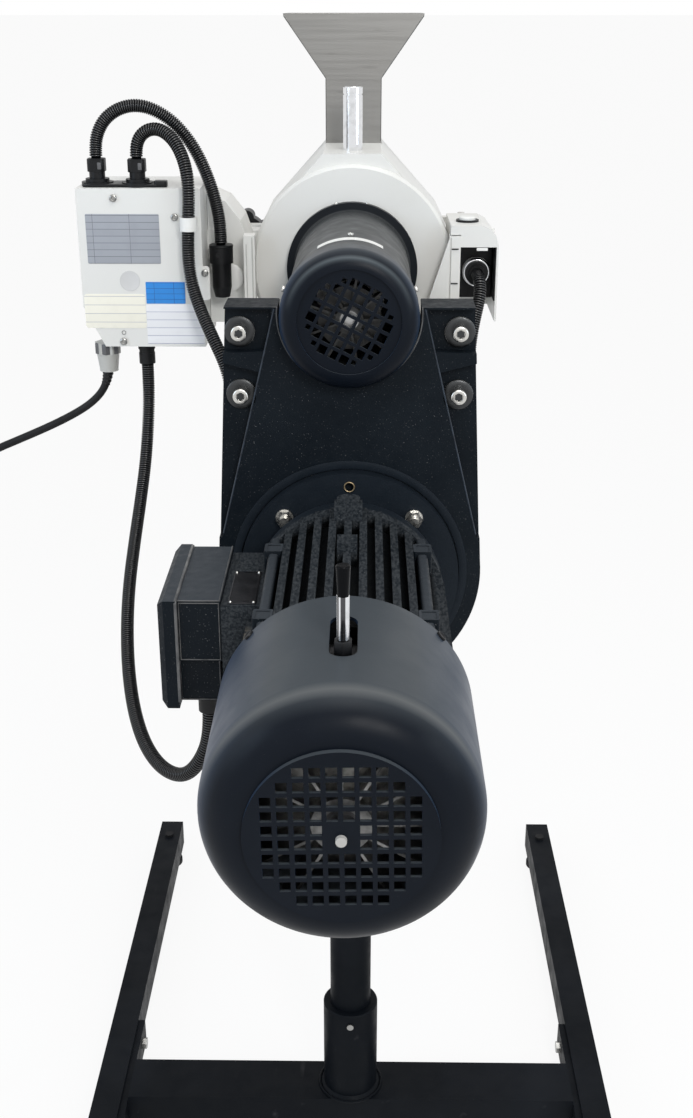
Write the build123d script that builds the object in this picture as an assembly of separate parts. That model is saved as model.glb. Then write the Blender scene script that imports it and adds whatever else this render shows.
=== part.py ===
from build123d import *
import math
import os

# Rotor beater mill on a stand, in millimetres.
# Z is up from the floor and X = 0 is the middle plane of the machine.
# Both drive axes run along Y: the brake motor hangs out towards -Y, the mill door opens towards +Y.

# Driving dimensions: axes
MOTOR_Z = 804.0            # height of the motor axis
SPINDLE_Z = 1043.5         # height of the spindle axis
BELT_Y = -127.0            # plane of the belt drive

# Driving dimensions: stand
LEG_X = 298.0
LEG_WIDTH = 34.0
LEG_BOTTOM = 10.0
LEG_TOP = 50.0
LEG_REAR = -424.0
LEG_FRONT = 584.0
LEG_WALL = 3.0
BAR_REAR = -20.0
BAR_FRONT = 44.0
POST_Y = 12.0
POST_RADIUS = 24.15
POST_TOP = 912.0
SLEEVE_RADIUS = 32.5
SLEEVE_TOP = 176.0
SET_SCREW_Z = 162.0

# Driving dimensions: mill frame and grinding chamber
FRAME_BOTTOM = 922.0
FRAME_REAR = -107.0
CHAMBER_REAR = 78.0
CHAMBER_FRONT = 250.0
CHAMBER_HALF = 110.5       # from the axis to the top flat of the octagon
CHAMBER_FLAT = 29.0        # half width of the top flat
CHAMBER_SIDE = 104.0       # from the axis to a side flat
CHAMBER_SIDE_FLAT = 17.0   # half height of a side flat
CHAMBER_CORNER = (91.0, 43.0)  # blunt corner between a side flat and the long slope
FRAME_HALF = 108.0
FRAME_WALL = 11.0
FRAME_POST_REAR = 60.0
FRAME_POST_TOP = 1078.0
CAVITY_RADIUS = 84.0
CAVITY_REAR = 172.0
DISC_RADIUS = 100.8
HOPPER_REAR = 200.0
HOPPER_NECK = (59.0, 40.0)
HOPPER_MOUTH = (146.5, 112.0)
HOPPER_TOP = 1282.0
HOPPER_WALL = 1.5

# Driving dimensions: belt casting
CASTING_REAR = -147.0
CASTING_FRONT = -110.0
CASTING_TOP = 1050.0
CASTING_HALF_TOP = 108.3
LOBE_RADIUS = 121.0
TRAPEZOID_HALF = 65.0
CUT_OUT_RADIUS = 62.5
POCKET_DEPTH = 12.0
EAR_BOLT_X = 96.0
EAR_BOLT_Z = (1027.0, 971.0)
WASHER_RADIUS = 13.3
MOTOR_PULLEY_RADIUS = 60.0
SPINDLE_PULLEY_RADIUS = 21.0

# Driving dimensions: spindle unit
BARREL_RADIUS = 57.0
BARREL_BORE = 51.0
BARREL_FLANGE = 65.7
COWL_RADIUS = 60.0
COWL_REAR = -178.0
COWL_FRONT = -145.5
UPPER_RECESS = 44.5
UPPER_PITCH = 10.3
UPPER_HOLE = 7.65
UPPER_REACH = 37.9         # no hole of the spindle's grille passes this radius
UPPER_TURN = 26.5

# Driving dimensions: brake motor
FLANGE_RADIUS = 100.0
FLANGE_PCD = 165.0
MOTOR_FRAME_FRONT = -203.0
MOTOR_FRAME_REAR = -418.0
FIN_RADIUS = 85.5
FIN_HALF = 3.1
FIN_PITCH = 12.8
FIN_COUNT = 11
MOTOR_COWL_RADIUS = 94.6
MOTOR_COWL_REAR = -584.0   # head of the middle bolt
GRILLE_REAR = -581.0
DOME_REAR = -577.0
COWL_WALL = 2.5
GRILLE_RADIUS = 63.2
GRILLE_PITCH = 10.5
GRILLE_HOLE = 7.4
LEVER_Y = -500.0
LEVER_PIVOT_Z = 850.0

# Driving dimensions: control box and its fittings
BOX_LEFT = -268.0
BOX_RIGHT = -147.0
BOX_REAR = 40.0
BOX_FRONT = 140.0
BOX_BOTTOM = 971.0
BOX_TOP = 1126.0
BOX_BEVEL = 20.0
HOSE_OUTER = 6.0
HOSE_ROOT = 5.1
HOSE_BORE = 4.3
CORD_RADIUS = 4.0

os.makedirs("parts", exist_ok=True)


def rod_x(radius, x0, x1, y, z):
    return Pos((x0 + x1) / 2, y, z) * Rot(0, 90, 0) * Cylinder(radius, x1 - x0)


def rod_y(radius, y0, y1, x=0.0, z=0.0):
    return Pos(x, (y0 + y1) / 2, z) * Rot(90, 0, 0) * Cylinder(radius, y1 - y0)


def rod_z(radius, z0, z1, x, y):
    return Pos(x, y, (z0 + z1) / 2) * Cylinder(radius, z1 - z0)


def ring_y(outer, inner, y0, y1, z, x=0.0):
    return rod_y(outer, y0, y1, x, z) - rod_y(inner, y0 - 1, y1 + 1, x, z)


def block(x0, x1, y0, y1, z0, z1):
    return Pos((x0 + x1) / 2, (y0 + y1) / 2, (z0 + z1) / 2) * Box(x1 - x0, y1 - y0, z1 - z0)


def plate_y(face, y0, y1):
    """A face drawn in X and Z, made solid from y0 to y1."""
    return Pos(0, y1, 0) * Rot(90, 0, 0) * extrude(face, y1 - y0)


def polygon(*points):
    return make_face(Polyline(*points, close=True))


def revolved_y(points, z):
    """A closed profile of (radius, y) points, turned about the axis along Y at height z."""
    profile = make_face(Polyline(*[(r, y, 0) for r, y in points], close=True))
    return Pos(0, 0, z) * revolve(profile, Axis.Y, 360)


def hexagon_y(across_flats, y0, y1, x, z):
    face = Pos(x, z) * RegularPolygon(across_flats / math.sqrt(3), 6)
    return plate_y(face, y0, y1)


def group(*solids):
    """Separate solids kept in one node."""
    return Compound(children=list(solids))


def save(shape, node):
    export_step(shape, f"parts/{node}.step")


def arc_radii(points, share=0.45):
    """Corner radii of a cord's route: as large as the two runs at each corner allow."""
    radii = []
    for a, b, c in zip(points, points[1:], points[2:]):
        before = Vector(*b) - Vector(*a)
        after = Vector(*c) - Vector(*b)
        turn = before.get_angle(after)
        shorter = min(before.length, after.length)
        radii.append(share * shorter / math.tan(math.radians(turn / 2)))
    return radii


def route(points, name):
    radii = arc_radii(points)
    print(name, "corner radii", [round(r) for r in radii])
    return FilletPolyline(*points, radius=radii)


def ribbed_hose(points, name, ribs, steady):
    """Corrugated hose: a ruled skin through four circles for each rib, closed with its bore.

    The circles keep one X axis all along, a direction that the hose never runs in.
    """
    path = route(points, name)
    length = path.length
    pitch = (length - 4 * HOSE_OUTER) / ribs
    stations = [(0.0, HOSE_ROOT)]
    for i in range(ribs):
        start = 2 * HOSE_OUTER + i * pitch
        stations.append((start + 0.08 * pitch, HOSE_ROOT))
        stations.append((start + 0.26 * pitch, HOSE_OUTER))
        stations.append((start + 0.74 * pitch, HOSE_OUTER))
        stations.append((start + 0.92 * pitch, HOSE_ROOT))
    stations.append((length, HOSE_ROOT))
    skin = []
    bore = []
    for distance, radius in stations:
        place = path.position_at(distance, position_mode=PositionMode.LENGTH)
        along = path.tangent_at(distance, position_mode=PositionMode.LENGTH)
        plane = Plane(origin=place, x_dir=steady, z_dir=along)
        skin.append(plane * Circle(radius))
        bore.append(plane * Circle(HOSE_BORE))
    outside = loft(skin, ruled=True)
    inside = loft(bore[:1] + bore[1:-1:4] + bore[-1:], ruled=True)
    walls = [face for face in outside.faces() + inside.faces() if face.geom_type != GeomType.PLANE]
    ends = []
    for lid in outside.faces().filter_by(GeomType.PLANE):
        hole = min(inside.faces().filter_by(GeomType.PLANE), key=lambda face: (face.center() - lid.center()).length)
        ends.append(Face(lid.outer_wire(), [hole.outer_wire()]))
    print(name, "length", round(length), "rib pitch", round(pitch, 2))
    return Solid(Shell(walls + ends))


def biarc(start, start_dir, end, end_dir):
    """Two arcs from start to end that keep both directions."""
    chord = end - start
    both = start_dir + end_dir
    spread = 2 * (1 - start_dir.dot(end_dir))
    along = chord.dot(both)
    reach = (-along + math.sqrt(along * along + spread * chord.dot(chord))) / spread
    joint = (start + start_dir * reach + end - end_dir * reach) * 0.5
    first = TangentArc(start, joint, tangent=start_dir)
    second = TangentArc(end, joint, tangent=end_dir * -1)
    return [first.edge(), second.edge()]


# Stand

def stand_legs():
    legs = []
    for side in (-1, 1):
        x = side * LEG_X
        half = LEG_WIDTH / 2
        tube = block(x - half, x + half, LEG_REAR, LEG_FRONT, LEG_BOTTOM, LEG_TOP)
        inside = half - LEG_WALL
        tube -= block(x - inside, x + inside, LEG_REAR + LEG_WALL, LEG_FRONT - LEG_WALL,
                      LEG_BOTTOM + LEG_WALL, LEG_TOP - LEG_WALL)
        for y in FOOT_Y:
            tube -= rod_z(4.2, LEG_BOTTOM - 1, LEG_TOP + 1, x, y)
        legs.append(tube)
    return group(*legs)


FOOT_Y = (LEG_REAR + 40, LEG_FRONT - 40)


def stand_feet():
    """Rubber discs, each with its stud and the screw head on top of the leg."""
    feet = []
    for side in (-1, 1):
        for y in FOOT_Y:
            x = side * LEG_X
            foot = rod_z(19, 0, 7, x, y) + rod_z(13, 7, 10, x, y)
            foot += rod_z(4.0, 10, LEG_TOP + 1, x, y)
            feet.append(foot + rod_z(6.5, LEG_TOP + 0.05, LEG_TOP + 4, x, y))
    return group(*feet)


PLATE_THICK = 8.0
PLATE_REAR = -110.0
PLATE_FRONT = 120.0
PLATE_INNER = LEG_X - LEG_WIDTH / 2 - PLATE_THICK


def crossbar():
    """Box section between the legs, welded to a fixing plate at each end."""
    bar = block(-PLATE_INNER, PLATE_INNER, BAR_REAR, BAR_FRONT, LEG_BOTTOM, LEG_TOP)
    bar -= block(-PLATE_INNER + 3, PLATE_INNER - 3, BAR_REAR + 3, BAR_FRONT - 3, LEG_BOTTOM + 3, LEG_TOP - 3)
    for side in (-1, 1):
        inner = side * PLATE_INNER
        outer = side * (PLATE_INNER + PLATE_THICK)
        bar += block(min(inner, outer), max(inner, outer), PLATE_REAR, PLATE_FRONT, 12, 46)
    return bar


def sleeve():
    """Socket for the post, with its weld fillet on the crossbar."""
    body = rod_z(SLEEVE_RADIUS, LEG_TOP, SLEEVE_TOP, 0, POST_Y)
    body = chamfer(body.edges().group_by(Axis.Z)[-1], 1.5)
    body += Pos(0, POST_Y, LEG_TOP + 2.5) * Cone(SLEEVE_RADIUS + 5, SLEEVE_RADIUS, 5)
    body -= rod_z(POST_RADIUS + 0.15, LEG_TOP - 1, SLEEVE_TOP + 1, 0, POST_Y)
    return body - rod_y(4.2, POST_Y - SLEEVE_RADIUS - 1, POST_Y, 0, SET_SCREW_Z)


def post():
    return rod_z(POST_RADIUS, LEG_TOP, POST_TOP, 0, POST_Y) - rod_z(20.0, LEG_TOP + 4, POST_TOP + 1, 0, POST_Y)


SADDLE_BOLTS = [(x, y) for x in (-52, 52) for y in (-14, 56)]


def post_saddle():
    """Head of the post: a socket under a plate that carries the mill frame."""
    plate = block(-70, 70, -30, 74, FRAME_BOTTOM - 10, FRAME_BOTTOM)
    socket = rod_z(32, FRAME_BOTTOM - 70, FRAME_BOTTOM - 10, 0, POST_Y)
    saddle = plate + socket - rod_z(POST_RADIUS + 0.1, FRAME_BOTTOM - 71, POST_TOP, 0, POST_Y)
    for x, y in SADDLE_BOLTS:
        saddle -= rod_z(4.3, FRAME_BOTTOM - 11, FRAME_BOTTOM + 1, x, y)
    return saddle


def stand_bolts():
    """Hex bolts: four into the legs, four up into the mill frame, and the sleeve's set screw."""
    bolts = []
    for side in (-1, 1):
        for y in (-86, 96):
            head = Pos(side * (PLATE_INNER - 2.7), y, 29) * Rot(0, 90, 0)
            bolts.append(head * extrude(RegularPolygon(7.5, 6), 2.7, both=True))
    for x, y in SADDLE_BOLTS:
        bolt = Pos(x, y, FRAME_BOTTOM - 15.3) * extrude(RegularPolygon(7.5, 6), 5.3)
        bolts.append(bolt + rod_z(4.0, FRAME_BOTTOM - 10, FRAME_BOTTOM + 8, x, y))
    bolts.append(rod_y(4.0, POST_Y - SLEEVE_RADIUS - 2, POST_Y - POST_RADIUS - 0.1, 0, SET_SCREW_Z))
    return group(*bolts)


# Mill frame and grinding chamber

def chamber_outline():
    """Outline of the chamber and its door: short flats, long slopes and a blunt corner between them."""
    corner_x, corner_z = CHAMBER_CORNER
    quarter = [(CHAMBER_FLAT, CHAMBER_HALF), (corner_x, corner_z), (CHAMBER_SIDE, CHAMBER_SIDE_FLAT)]
    right = quarter + [(x, -z) for x, z in reversed(quarter)]
    left = [(-x, z) for x, z in reversed(right)]
    return Pos(0, SPINDLE_Z) * polygon(*right, *left)


def mill_frame():
    """White casting: two side walls and a floor between the belt casting and the chamber."""
    frame = block(-FRAME_HALF, FRAME_HALF, FRAME_REAR, CHAMBER_REAR, FRAME_BOTTOM, FRAME_BOTTOM + 10)
    frame += block(-FRAME_HALF, FRAME_HALF, 66, CHAMBER_REAR, FRAME_BOTTOM + 10, 975)
    for side in (-1, 1):
        wall = [(FRAME_REAR, FRAME_BOTTOM), (CHAMBER_REAR, FRAME_BOTTOM), (CHAMBER_REAR, FRAME_POST_TOP),
                (FRAME_POST_REAR, FRAME_POST_TOP), (FRAME_POST_REAR, 1008), (FRAME_REAR, 1040)]
        outline = Plane.YZ * polygon(*wall)
        x = FRAME_HALF - FRAME_WALL if side > 0 else -FRAME_HALF
        frame += Pos(x, 0, 0) * extrude(outline, FRAME_WALL)
        pad = sorted((side * 80, side * 103))
        frame += block(pad[0], pad[1], FRAME_REAR, -84, 948, 1040)
        for z in EAR_BOLT_Z:
            frame -= rod_y(3.4, FRAME_REAR - 1, -90, side * EAR_BOLT_X, z)
    inside = FRAME_HALF - FRAME_WALL + 0.5
    web = polygon((inside, FRAME_POST_TOP), (inside, 1008), (75, 1008))
    frame += plate_y(web, FRAME_POST_REAR, FRAME_POST_REAR + 6)
    for x, y in SADDLE_BOLTS:
        frame -= rod_z(4.1, FRAME_BOTTOM - 1, FRAME_BOTTOM + 9, x, y)
    frame -= rod_y(BARREL_FLANGE + 1, 60, CHAMBER_REAR + 1, 0, SPINDLE_Z)
    return frame


def chamber_back_plate():
    """Round plate between the frame and the chamber, with a narrow bevelled rim."""
    rim = [(40, CHAMBER_REAR), (DISC_RADIUS - 3, CHAMBER_REAR), (DISC_RADIUS, CHAMBER_REAR + 3),
           (DISC_RADIUS, CHAMBER_REAR + 7), (40, CHAMBER_REAR + 7)]
    return revolved_y(rim, SPINDLE_Z)


def chamber_body():
    """Housing with cut corners: bearing seat at the rear, grinding cavity, inlet above and outlet below."""
    rear = CHAMBER_REAR + 7
    body = plate_y(chamber_outline(), rear, CHAMBER_FRONT)
    body -= rod_y(CAVITY_RADIUS, CAVITY_REAR, CHAMBER_FRONT + 1, 0, SPINDLE_Z)
    body -= rod_y(15, rear - 1, CAVITY_REAR + 1, 0, SPINDLE_Z)
    body -= rod_y(31.05, 100, 117, 0, SPINDLE_Z)
    body -= rod_y(31.05, rear - 1, 101, 0, SPINDLE_Z)
    neck_x, neck_y = HOPPER_NECK
    body -= block(-neck_x / 2 - 0.5, neck_x / 2 + 0.5, HOPPER_REAR - 0.5, HOPPER_REAR + neck_y + 0.5,
                  SPINDLE_Z, SPINDLE_Z + CHAMBER_HALF + 1)
    body -= block(-42, 42, 182, 244, SPINDLE_Z - CHAMBER_HALF - 1, SPINDLE_Z)
    collar = rod_z(62, OUTLET_BOTTOM, SPINDLE_Z - CHAMBER_HALF + 4, 0, OUTLET_Y)
    collar &= block(-70, 70, 100, 249, 800, 1000)
    body += collar - block(-42, 42, 182, 244, 800, 1000)
    lug = block(KNOB_X - 12, -CHAMBER_SIDE + 1, 224, CHAMBER_FRONT, KNOB_Z - 12, KNOB_Z + 12)
    return body + lug - rod_y(6.0, CHAMBER_FRONT - 4, CHAMBER_FRONT + 1, KNOB_X, KNOB_Z)


OUTLET_Y = 205.0
OUTLET_BOTTOM = 905.0


def ring_sieve():
    """Perforated ring round the rotor."""
    ring = ring_y(68.5, 67.0, 176, 246, SPINDLE_Z)
    for i in range(24):
        slot = Rot(0, i * 7.5, 0) * Box(160, 56, 3.5)
        ring -= Pos(0, 211, SPINDLE_Z) * slot
    ring += ring_y(83.8, 66.9, 173.5, 176, SPINDLE_Z)
    return ring


def door_seal():
    return Pos(0, CHAMBER_FRONT + 1.2, SPINDLE_Z) * Rot(90, 0, 0) * Torus(92, 1.15)


GUIDE_Y = 125.0


def guide_post():
    """Chromed post on top of the chamber, grooved under its cap and notched at its foot."""
    foot = SPINDLE_Z + CHAMBER_HALF
    body = rod_z(9.8, foot, foot + 61, 0, GUIDE_Y)
    body = chamfer(body.edges().group_by(Axis.Z)[-1], 0.8)
    body -= rod_z(12, foot + 53, foot + 54.2, 0, GUIDE_Y) - rod_z(9.0, foot + 52, foot + 55, 0, GUIDE_Y)
    return body - block(-4, 6, GUIDE_Y - 11, GUIDE_Y - 7.5, foot - 1, foot + 6)


def lock_shroud():
    """White cover of the door lock on the left, with the socket for the angled plug."""
    inner = -CHAMBER_SIDE - 0.1
    outline = polygon((-146.5, 985), (inner, 985), (inner, 1062), (-113, 1088), (-128, 1107), (-146.5, 1115))
    shell = plate_y(outline, 92, 160)
    shell += rod_y(15.5, 84, 92, -131, 1029)
    return shell


def safety_hood():
    """White hood over the plug on the right, open below and at the rear."""
    front_inner, rear_inner = CHAMBER_SIDE + 0.1, FRAME_HALF + 0.1
    shoulder = [(HOOD_RIGHT, 1068), (HOOD_RIGHT - 2.5, 1077), (HOOD_RIGHT - 8, 1084), (HOOD_RIGHT - 16, HOOD_TOP)]
    front = [(front_inner, HOOD_BOTTOM), (HOOD_RIGHT, HOOD_BOTTOM), *shoulder, (98, HOOD_TOP),
             (98, SPINDLE_Z + 29.4), (front_inner, SPINDLE_Z + 17)]
    rear = [(rear_inner, HOOD_BOTTOM), (HOOD_RIGHT, HOOD_BOTTOM), *shoulder, (98, HOOD_TOP),
            (98, FRAME_POST_TOP + 1), (rear_inner, FRAME_POST_TOP + 1)]
    hood = plate_y(polygon(*front), HOOD_STEP, HOOD_FRONT) + plate_y(polygon(*rear), HOOD_REAR, HOOD_STEP)
    wall_x = HOOD_RIGHT - 2
    hood -= block(108.5, wall_x, HOOD_REAR + 2, HOOD_FRONT - 2, HOOD_BOTTOM - 1, 1072)
    hood -= block(rear_inner - 1, wall_x, HOOD_REAR + 2, HOOD_STEP, HOOD_BOTTOM - 1, 1072)
    hood -= block(rear_inner - 1, wall_x, HOOD_REAR - 1, HOOD_REAR + 3, HOOD_BOTTOM - 1, 1067)
    hood -= block(108.5, 134, HOOD_REAR + 2, HOOD_FRONT - 2, 1071, HOOD_TOP - 2)
    hood += block(108, wall_x + 0.5, 98, 100, 1010, 1080)
    hood += ring_y(14, 11.5, 88, 98.5, HOOD_PLUG_Z, HOOD_PLUG_X)
    return hood - rod_z(8.4, HOOD_TOP - 7, HOOD_TOP + 1, BUTTON_X, BUTTON_Y)


HOOD_TOP = 1088.0
HOOD_BOTTOM = 993.0
HOOD_RIGHT = 146.0
HOOD_REAR = 62.0
HOOD_STEP = CHAMBER_REAR + 0.1
HOOD_FRONT = 150.0
HOOD_PLUG_X = 126.5
HOOD_PLUG_Z = 1038.0
BUTTON_X = 116.0
BUTTON_Y = 92.0


def hood_button():
    stem = rod_z(8.2, HOOD_TOP - 2.5, HOOD_TOP + 5, BUTTON_X, BUTTON_Y)
    return chamfer(stem.edges().group_by(Axis.Z)[-1], 1.0)


def button_bezels():
    hood = rod_z(11.5, HOOD_TOP, HOOD_TOP + 2, BUTTON_X, BUTTON_Y)
    hood -= rod_z(8.4, HOOD_TOP - 1, HOOD_TOP + 3, BUTTON_X, BUTTON_Y)
    rings = [ring_y(14, 11.3, BOX_FRONT, BOX_FRONT + 4, z, x) for x, z in PANEL_BUTTONS]
    return group(hood, *rings)


PANEL_BUTTONS = [(-232.0, 1010.0), (-184.0, 1010.0)]


def panel_button(x, z):
    knob = rod_y(11.1, BOX_FRONT - 4, BOX_FRONT + 9, x, z)
    return chamfer(knob.edges().group_by(Axis.Y)[-1], 1.2)


DOOR_BACK = CHAMBER_FRONT + 2.6
HINGE_X = 121.0
HINGE_Y = 262.0
HINGE_Z = SPINDLE_Z - 14
EAR_HEIGHTS = (HINGE_Z - 20, HINGE_Z + 20)


def door():
    """Door of the chamber's outline with a round boss, its hinge ears and the slot for the closing knob."""
    plate = plate_y(chamber_outline(), DOOR_BACK, DOOR_BACK + 18)
    plate += rod_y(78, DOOR_BACK + 18, DOOR_BACK + 24, 0, SPINDLE_Z)
    plate += rod_y(60, DOOR_BACK - 8, DOOR_BACK, 0, SPINDLE_Z) - rod_y(22, DOOR_BACK - 9, DOOR_BACK + 6, 0, SPINDLE_Z)
    for z in EAR_HEIGHTS:
        plate += block(88, HINGE_X, DOOR_BACK + 2, DOOR_BACK + 16, z - 7, z + 7)
        plate += rod_z(8, z - 7, z + 7, HINGE_X, HINGE_Y)
    for z in EAR_HEIGHTS:
        plate -= rod_z(4.05, z - 9, z + 9, HINGE_X, HINGE_Y)
    arm = block(KNOB_X - 14, -100, DOOR_BACK + 2, DOOR_BACK + 14, KNOB_Z - 14, KNOB_Z + 14)
    return plate + arm - rod_y(5.05, DOOR_BACK, DOOR_BACK + 15, KNOB_X, KNOB_Z)


KNOB_X = -122.0
KNOB_Z = 1046.5


def door_hinge():
    """Two knuckles on the chamber side and the pin through both."""
    pin = rod_z(4.0, HINGE_Z - 44, HINGE_Z + 44, HINGE_X, HINGE_Y)
    chamber = plate_y(chamber_outline(), 230, CHAMBER_FRONT)
    knuckles = []
    for z0 in (HINGE_Z - 42, HINGE_Z + 28):
        ear = block(78, HINGE_X, 236, CHAMBER_FRONT, z0, z0 + 14) - chamber
        ear += block(114, HINGE_X, CHAMBER_FRONT - 1, HINGE_Y, z0, z0 + 14)
        ear += rod_z(8, z0, z0 + 14, HINGE_X, HINGE_Y)
        knuckles.append(ear - rod_z(4.0, z0 - 1, z0 + 15, HINGE_X, HINGE_Y))
    return group(pin, *knuckles)


def door_knob():
    """Five-lobed closing knob on its stem."""
    front = DOOR_BACK + 15
    knob = rod_y(20, front + 4, front + 26, KNOB_X, KNOB_Z)
    for i in range(5):
        angle = math.radians(90 + 72 * i)
        knob += rod_y(8, front + 4, front + 26, KNOB_X + 19 * math.cos(angle), KNOB_Z + 19 * math.sin(angle))
    knob += rod_y(9, front, front + 4, KNOB_X, KNOB_Z)
    return knob + rod_y(5.0, DOOR_BACK - 4, front, KNOB_X, KNOB_Z)


def hopper():
    """Sheet hopper with an upright back: mouth, sloping cone and neck."""
    neck_x, neck_y = HOPPER_NECK
    mouth_x, mouth_y = HOPPER_MOUTH
    shoulder = HOPPER_TOP - 63
    foot = SPINDLE_Z + CHAMBER_HALF - 26
    def shape(wall):
        neck_rect = Rectangle(neck_x - 2 * wall, neck_y - 2 * wall)
        mouth_rect = Rectangle(mouth_x - 2 * wall, mouth_y - 2 * wall)
        low = Pos(0, HOPPER_REAR + neck_y / 2, shoulder) * neck_rect
        high = Pos(0, HOPPER_REAR + mouth_y / 2, HOPPER_TOP) * mouth_rect
        stub = block(-neck_x / 2 + wall, neck_x / 2 - wall, HOPPER_REAR + wall, HOPPER_REAR + neck_y - wall,
                     foot, shoulder)
        return loft([low, high], ruled=True) + stub
    inner = shape(HOPPER_WALL)
    inner += block(-neck_x / 2 + HOPPER_WALL, neck_x / 2 - HOPPER_WALL, HOPPER_REAR + HOPPER_WALL,
                   HOPPER_REAR + neck_y - HOPPER_WALL, foot - 1, foot + 1)
    body = shape(0.0) - inner
    front = HOPPER_REAR + neck_y
    return body + block(-neck_x / 2, neck_x / 2, front - 0.5, front + 7, foot + 26.1, foot + 28)


VESSEL_BOTTOM = 640.0
VESSEL_RADIUS = 76.0


def collector_vessel():
    """Round collecting vessel that slides up over the outlet collar."""
    can = rod_z(VESSEL_RADIUS, VESSEL_BOTTOM, OUTLET_BOTTOM - 6, 0, OUTLET_Y)
    can -= rod_z(VESSEL_RADIUS - 1.5, VESSEL_BOTTOM + 1.5, OUTLET_BOTTOM - 5, 0, OUTLET_Y)
    lid = rod_z(VESSEL_RADIUS + 2, OUTLET_BOTTOM - 9, OUTLET_BOTTOM - 3, 0, OUTLET_Y)
    can += lid - rod_z(58, OUTLET_BOTTOM - 12, OUTLET_BOTTOM, 0, OUTLET_Y)
    can += rod_z(66, OUTLET_BOTTOM - 4, OUTLET_BOTTOM - 0.3, 0, OUTLET_Y) - rod_z(58, OUTLET_BOTTOM - 9, OUTLET_BOTTOM, 0, OUTLET_Y)
    return can


# Spindle unit

def spindle_barrel():
    """Barrel between the belt drive and the chamber, with a window where the belt runs in."""
    barrel = ring_y(BARREL_RADIUS, BARREL_BORE, COWL_FRONT, CHAMBER_REAR, SPINDLE_Z)
    barrel += ring_y(BARREL_FLANGE, BARREL_BORE, CHAMBER_REAR - 9, CHAMBER_REAR, SPINDLE_Z)
    barrel += ring_y(BARREL_BORE + 1, 31.05, -64, -48, SPINDLE_Z)
    window = block(-38, 38, BELT_Y - 12, BELT_Y + 12, SPINDLE_Z - BARREL_RADIUS - 1, SPINDLE_Z - 20)
    return barrel - window


def upper_grille():
    """Square holes on a grid with one in the middle; those that would pass the rim are cut smaller towards it."""
    half = UPPER_HOLE / 2
    holes = []
    for i in range(-3, 4):
        for j in range(-3, 4):
            u, w = abs(i) * UPPER_PITCH, abs(j) * UPPER_PITCH
            side = UPPER_HOLE
            if math.hypot(u + half, w + half) > UPPER_REACH:
                a, b = u - half, w - half
                side = (math.sqrt(2 * UPPER_REACH ** 2 - (a - b) ** 2) - a - b) / 2
            if side < 3:
                continue
            shift = (UPPER_HOLE - side) / 2
            x = math.copysign(u - shift, i) if i else 0.0
            z = math.copysign(w - shift, j) if j else 0.0
            holes.append(Pos(x, 0, z) * Box(side, 12, side))
    return Compound(children=holes)


def spindle_cowl():
    """Cowl whose shoulder rises straight from a sunk grille of square holes, turned a little."""
    face = COWL_REAR
    shoulder = COWL_RADIUS - UPPER_RECESS
    profile = make_face(
        Polyline((UPPER_RECESS, face + 2), (UPPER_RECESS, face))
        + [RadiusArc((UPPER_RECESS, face), (COWL_RADIUS, face + shoulder), -shoulder)]
        + Polyline((COWL_RADIUS, face + shoulder), (COWL_RADIUS, COWL_FRONT), (COWL_RADIUS - 2, COWL_FRONT),
                   (COWL_RADIUS - 2, face + shoulder + 1))
        + [RadiusArc((COWL_RADIUS - 2, face + shoulder + 1), (UPPER_RECESS, face + 3), shoulder - 2)]
        + Polyline((UPPER_RECESS, face + 3), (UPPER_RECESS - 2, face + 4.5), (0, face + 4.5), (0, face + 2),
                   (UPPER_RECESS, face + 2)))
    cowl = Pos(0, 0, SPINDLE_Z) * revolve(profile, Axis.Y, 360)
    return cowl - Pos(0, face + 3, SPINDLE_Z) * Rot(0, UPPER_TURN, 0) * upper_grille()


def bearings():
    """Ball bearings as rings: two for the spindle, two for the motor."""
    rings = [ring_y(31, 12.55, -63, -49, SPINDLE_Z), ring_y(31, 12.55, 101, 116, SPINDLE_Z)]
    rings += [ring_y(26, 12.05, -180, -165, MOTOR_Z), ring_y(26, 12.05, -431, -417, MOTOR_Z)]
    return group(*rings)


def spindle_shaft():
    shaft = rod_y(8, -168, -140, 0, SPINDLE_Z) + rod_y(10, -141, -112, 0, SPINDLE_Z)
    shaft += rod_y(12.5, -112, 182, 0, SPINDLE_Z)
    return shaft + rod_y(9, 181, 236, 0, SPINDLE_Z)


def spindle_pulley():
    wheel = rod_y(SPINDLE_PULLEY_RADIUS - 0.4, BELT_Y - 9, BELT_Y + 9, 0, SPINDLE_Z) - rod_y(10.0, BELT_Y - 10, BELT_Y + 10, 0, SPINDLE_Z)
    for y in (BELT_Y - 11, BELT_Y + 9):
        wheel += ring_y(24.5, 10.0, y, y + 2, SPINDLE_Z)
    return wheel


def fan_wheel(bore, hub, rim, y0, y1, z, blades):
    """Radial fan: hub, back disc and straight blades."""
    wheel = rod_y(hub, y0, y1, 0, z) + rod_y(rim * 0.62, y1 - 2, y1, 0, z)
    for i in range(blades):
        blade = block(hub - 1, rim, y0 + 1, y1, -1.0, 1.0)
        wheel += Pos(0, 0, z) * Rot(0, 360 * i / blades, 0) * blade
    return wheel - rod_y(bore, y0 - 1, y1 + 1, 0, z)


def beater_rotor():
    """Twelve-tooth rotor: back disc, hub and beater bars, held by its nut."""
    rotor = rod_y(62, 183, 189, 0, SPINDLE_Z) + rod_y(17, 183, 226, 0, SPINDLE_Z)
    for i in range(12):
        bar = block(50, 64.7, 185, 234, -4, 4)
        rotor += Pos(0, 0, SPINDLE_Z) * Rot(0, 30 * i, 0) * bar
    rotor -= rod_y(9.0, 180, 240, 0, SPINDLE_Z)
    nut = hexagon_y(27, 226, 240, 0, SPINDLE_Z) - rod_y(9.0, 220, 236, 0, SPINDLE_Z)
    return group(rotor, nut)


# Belt drive

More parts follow.
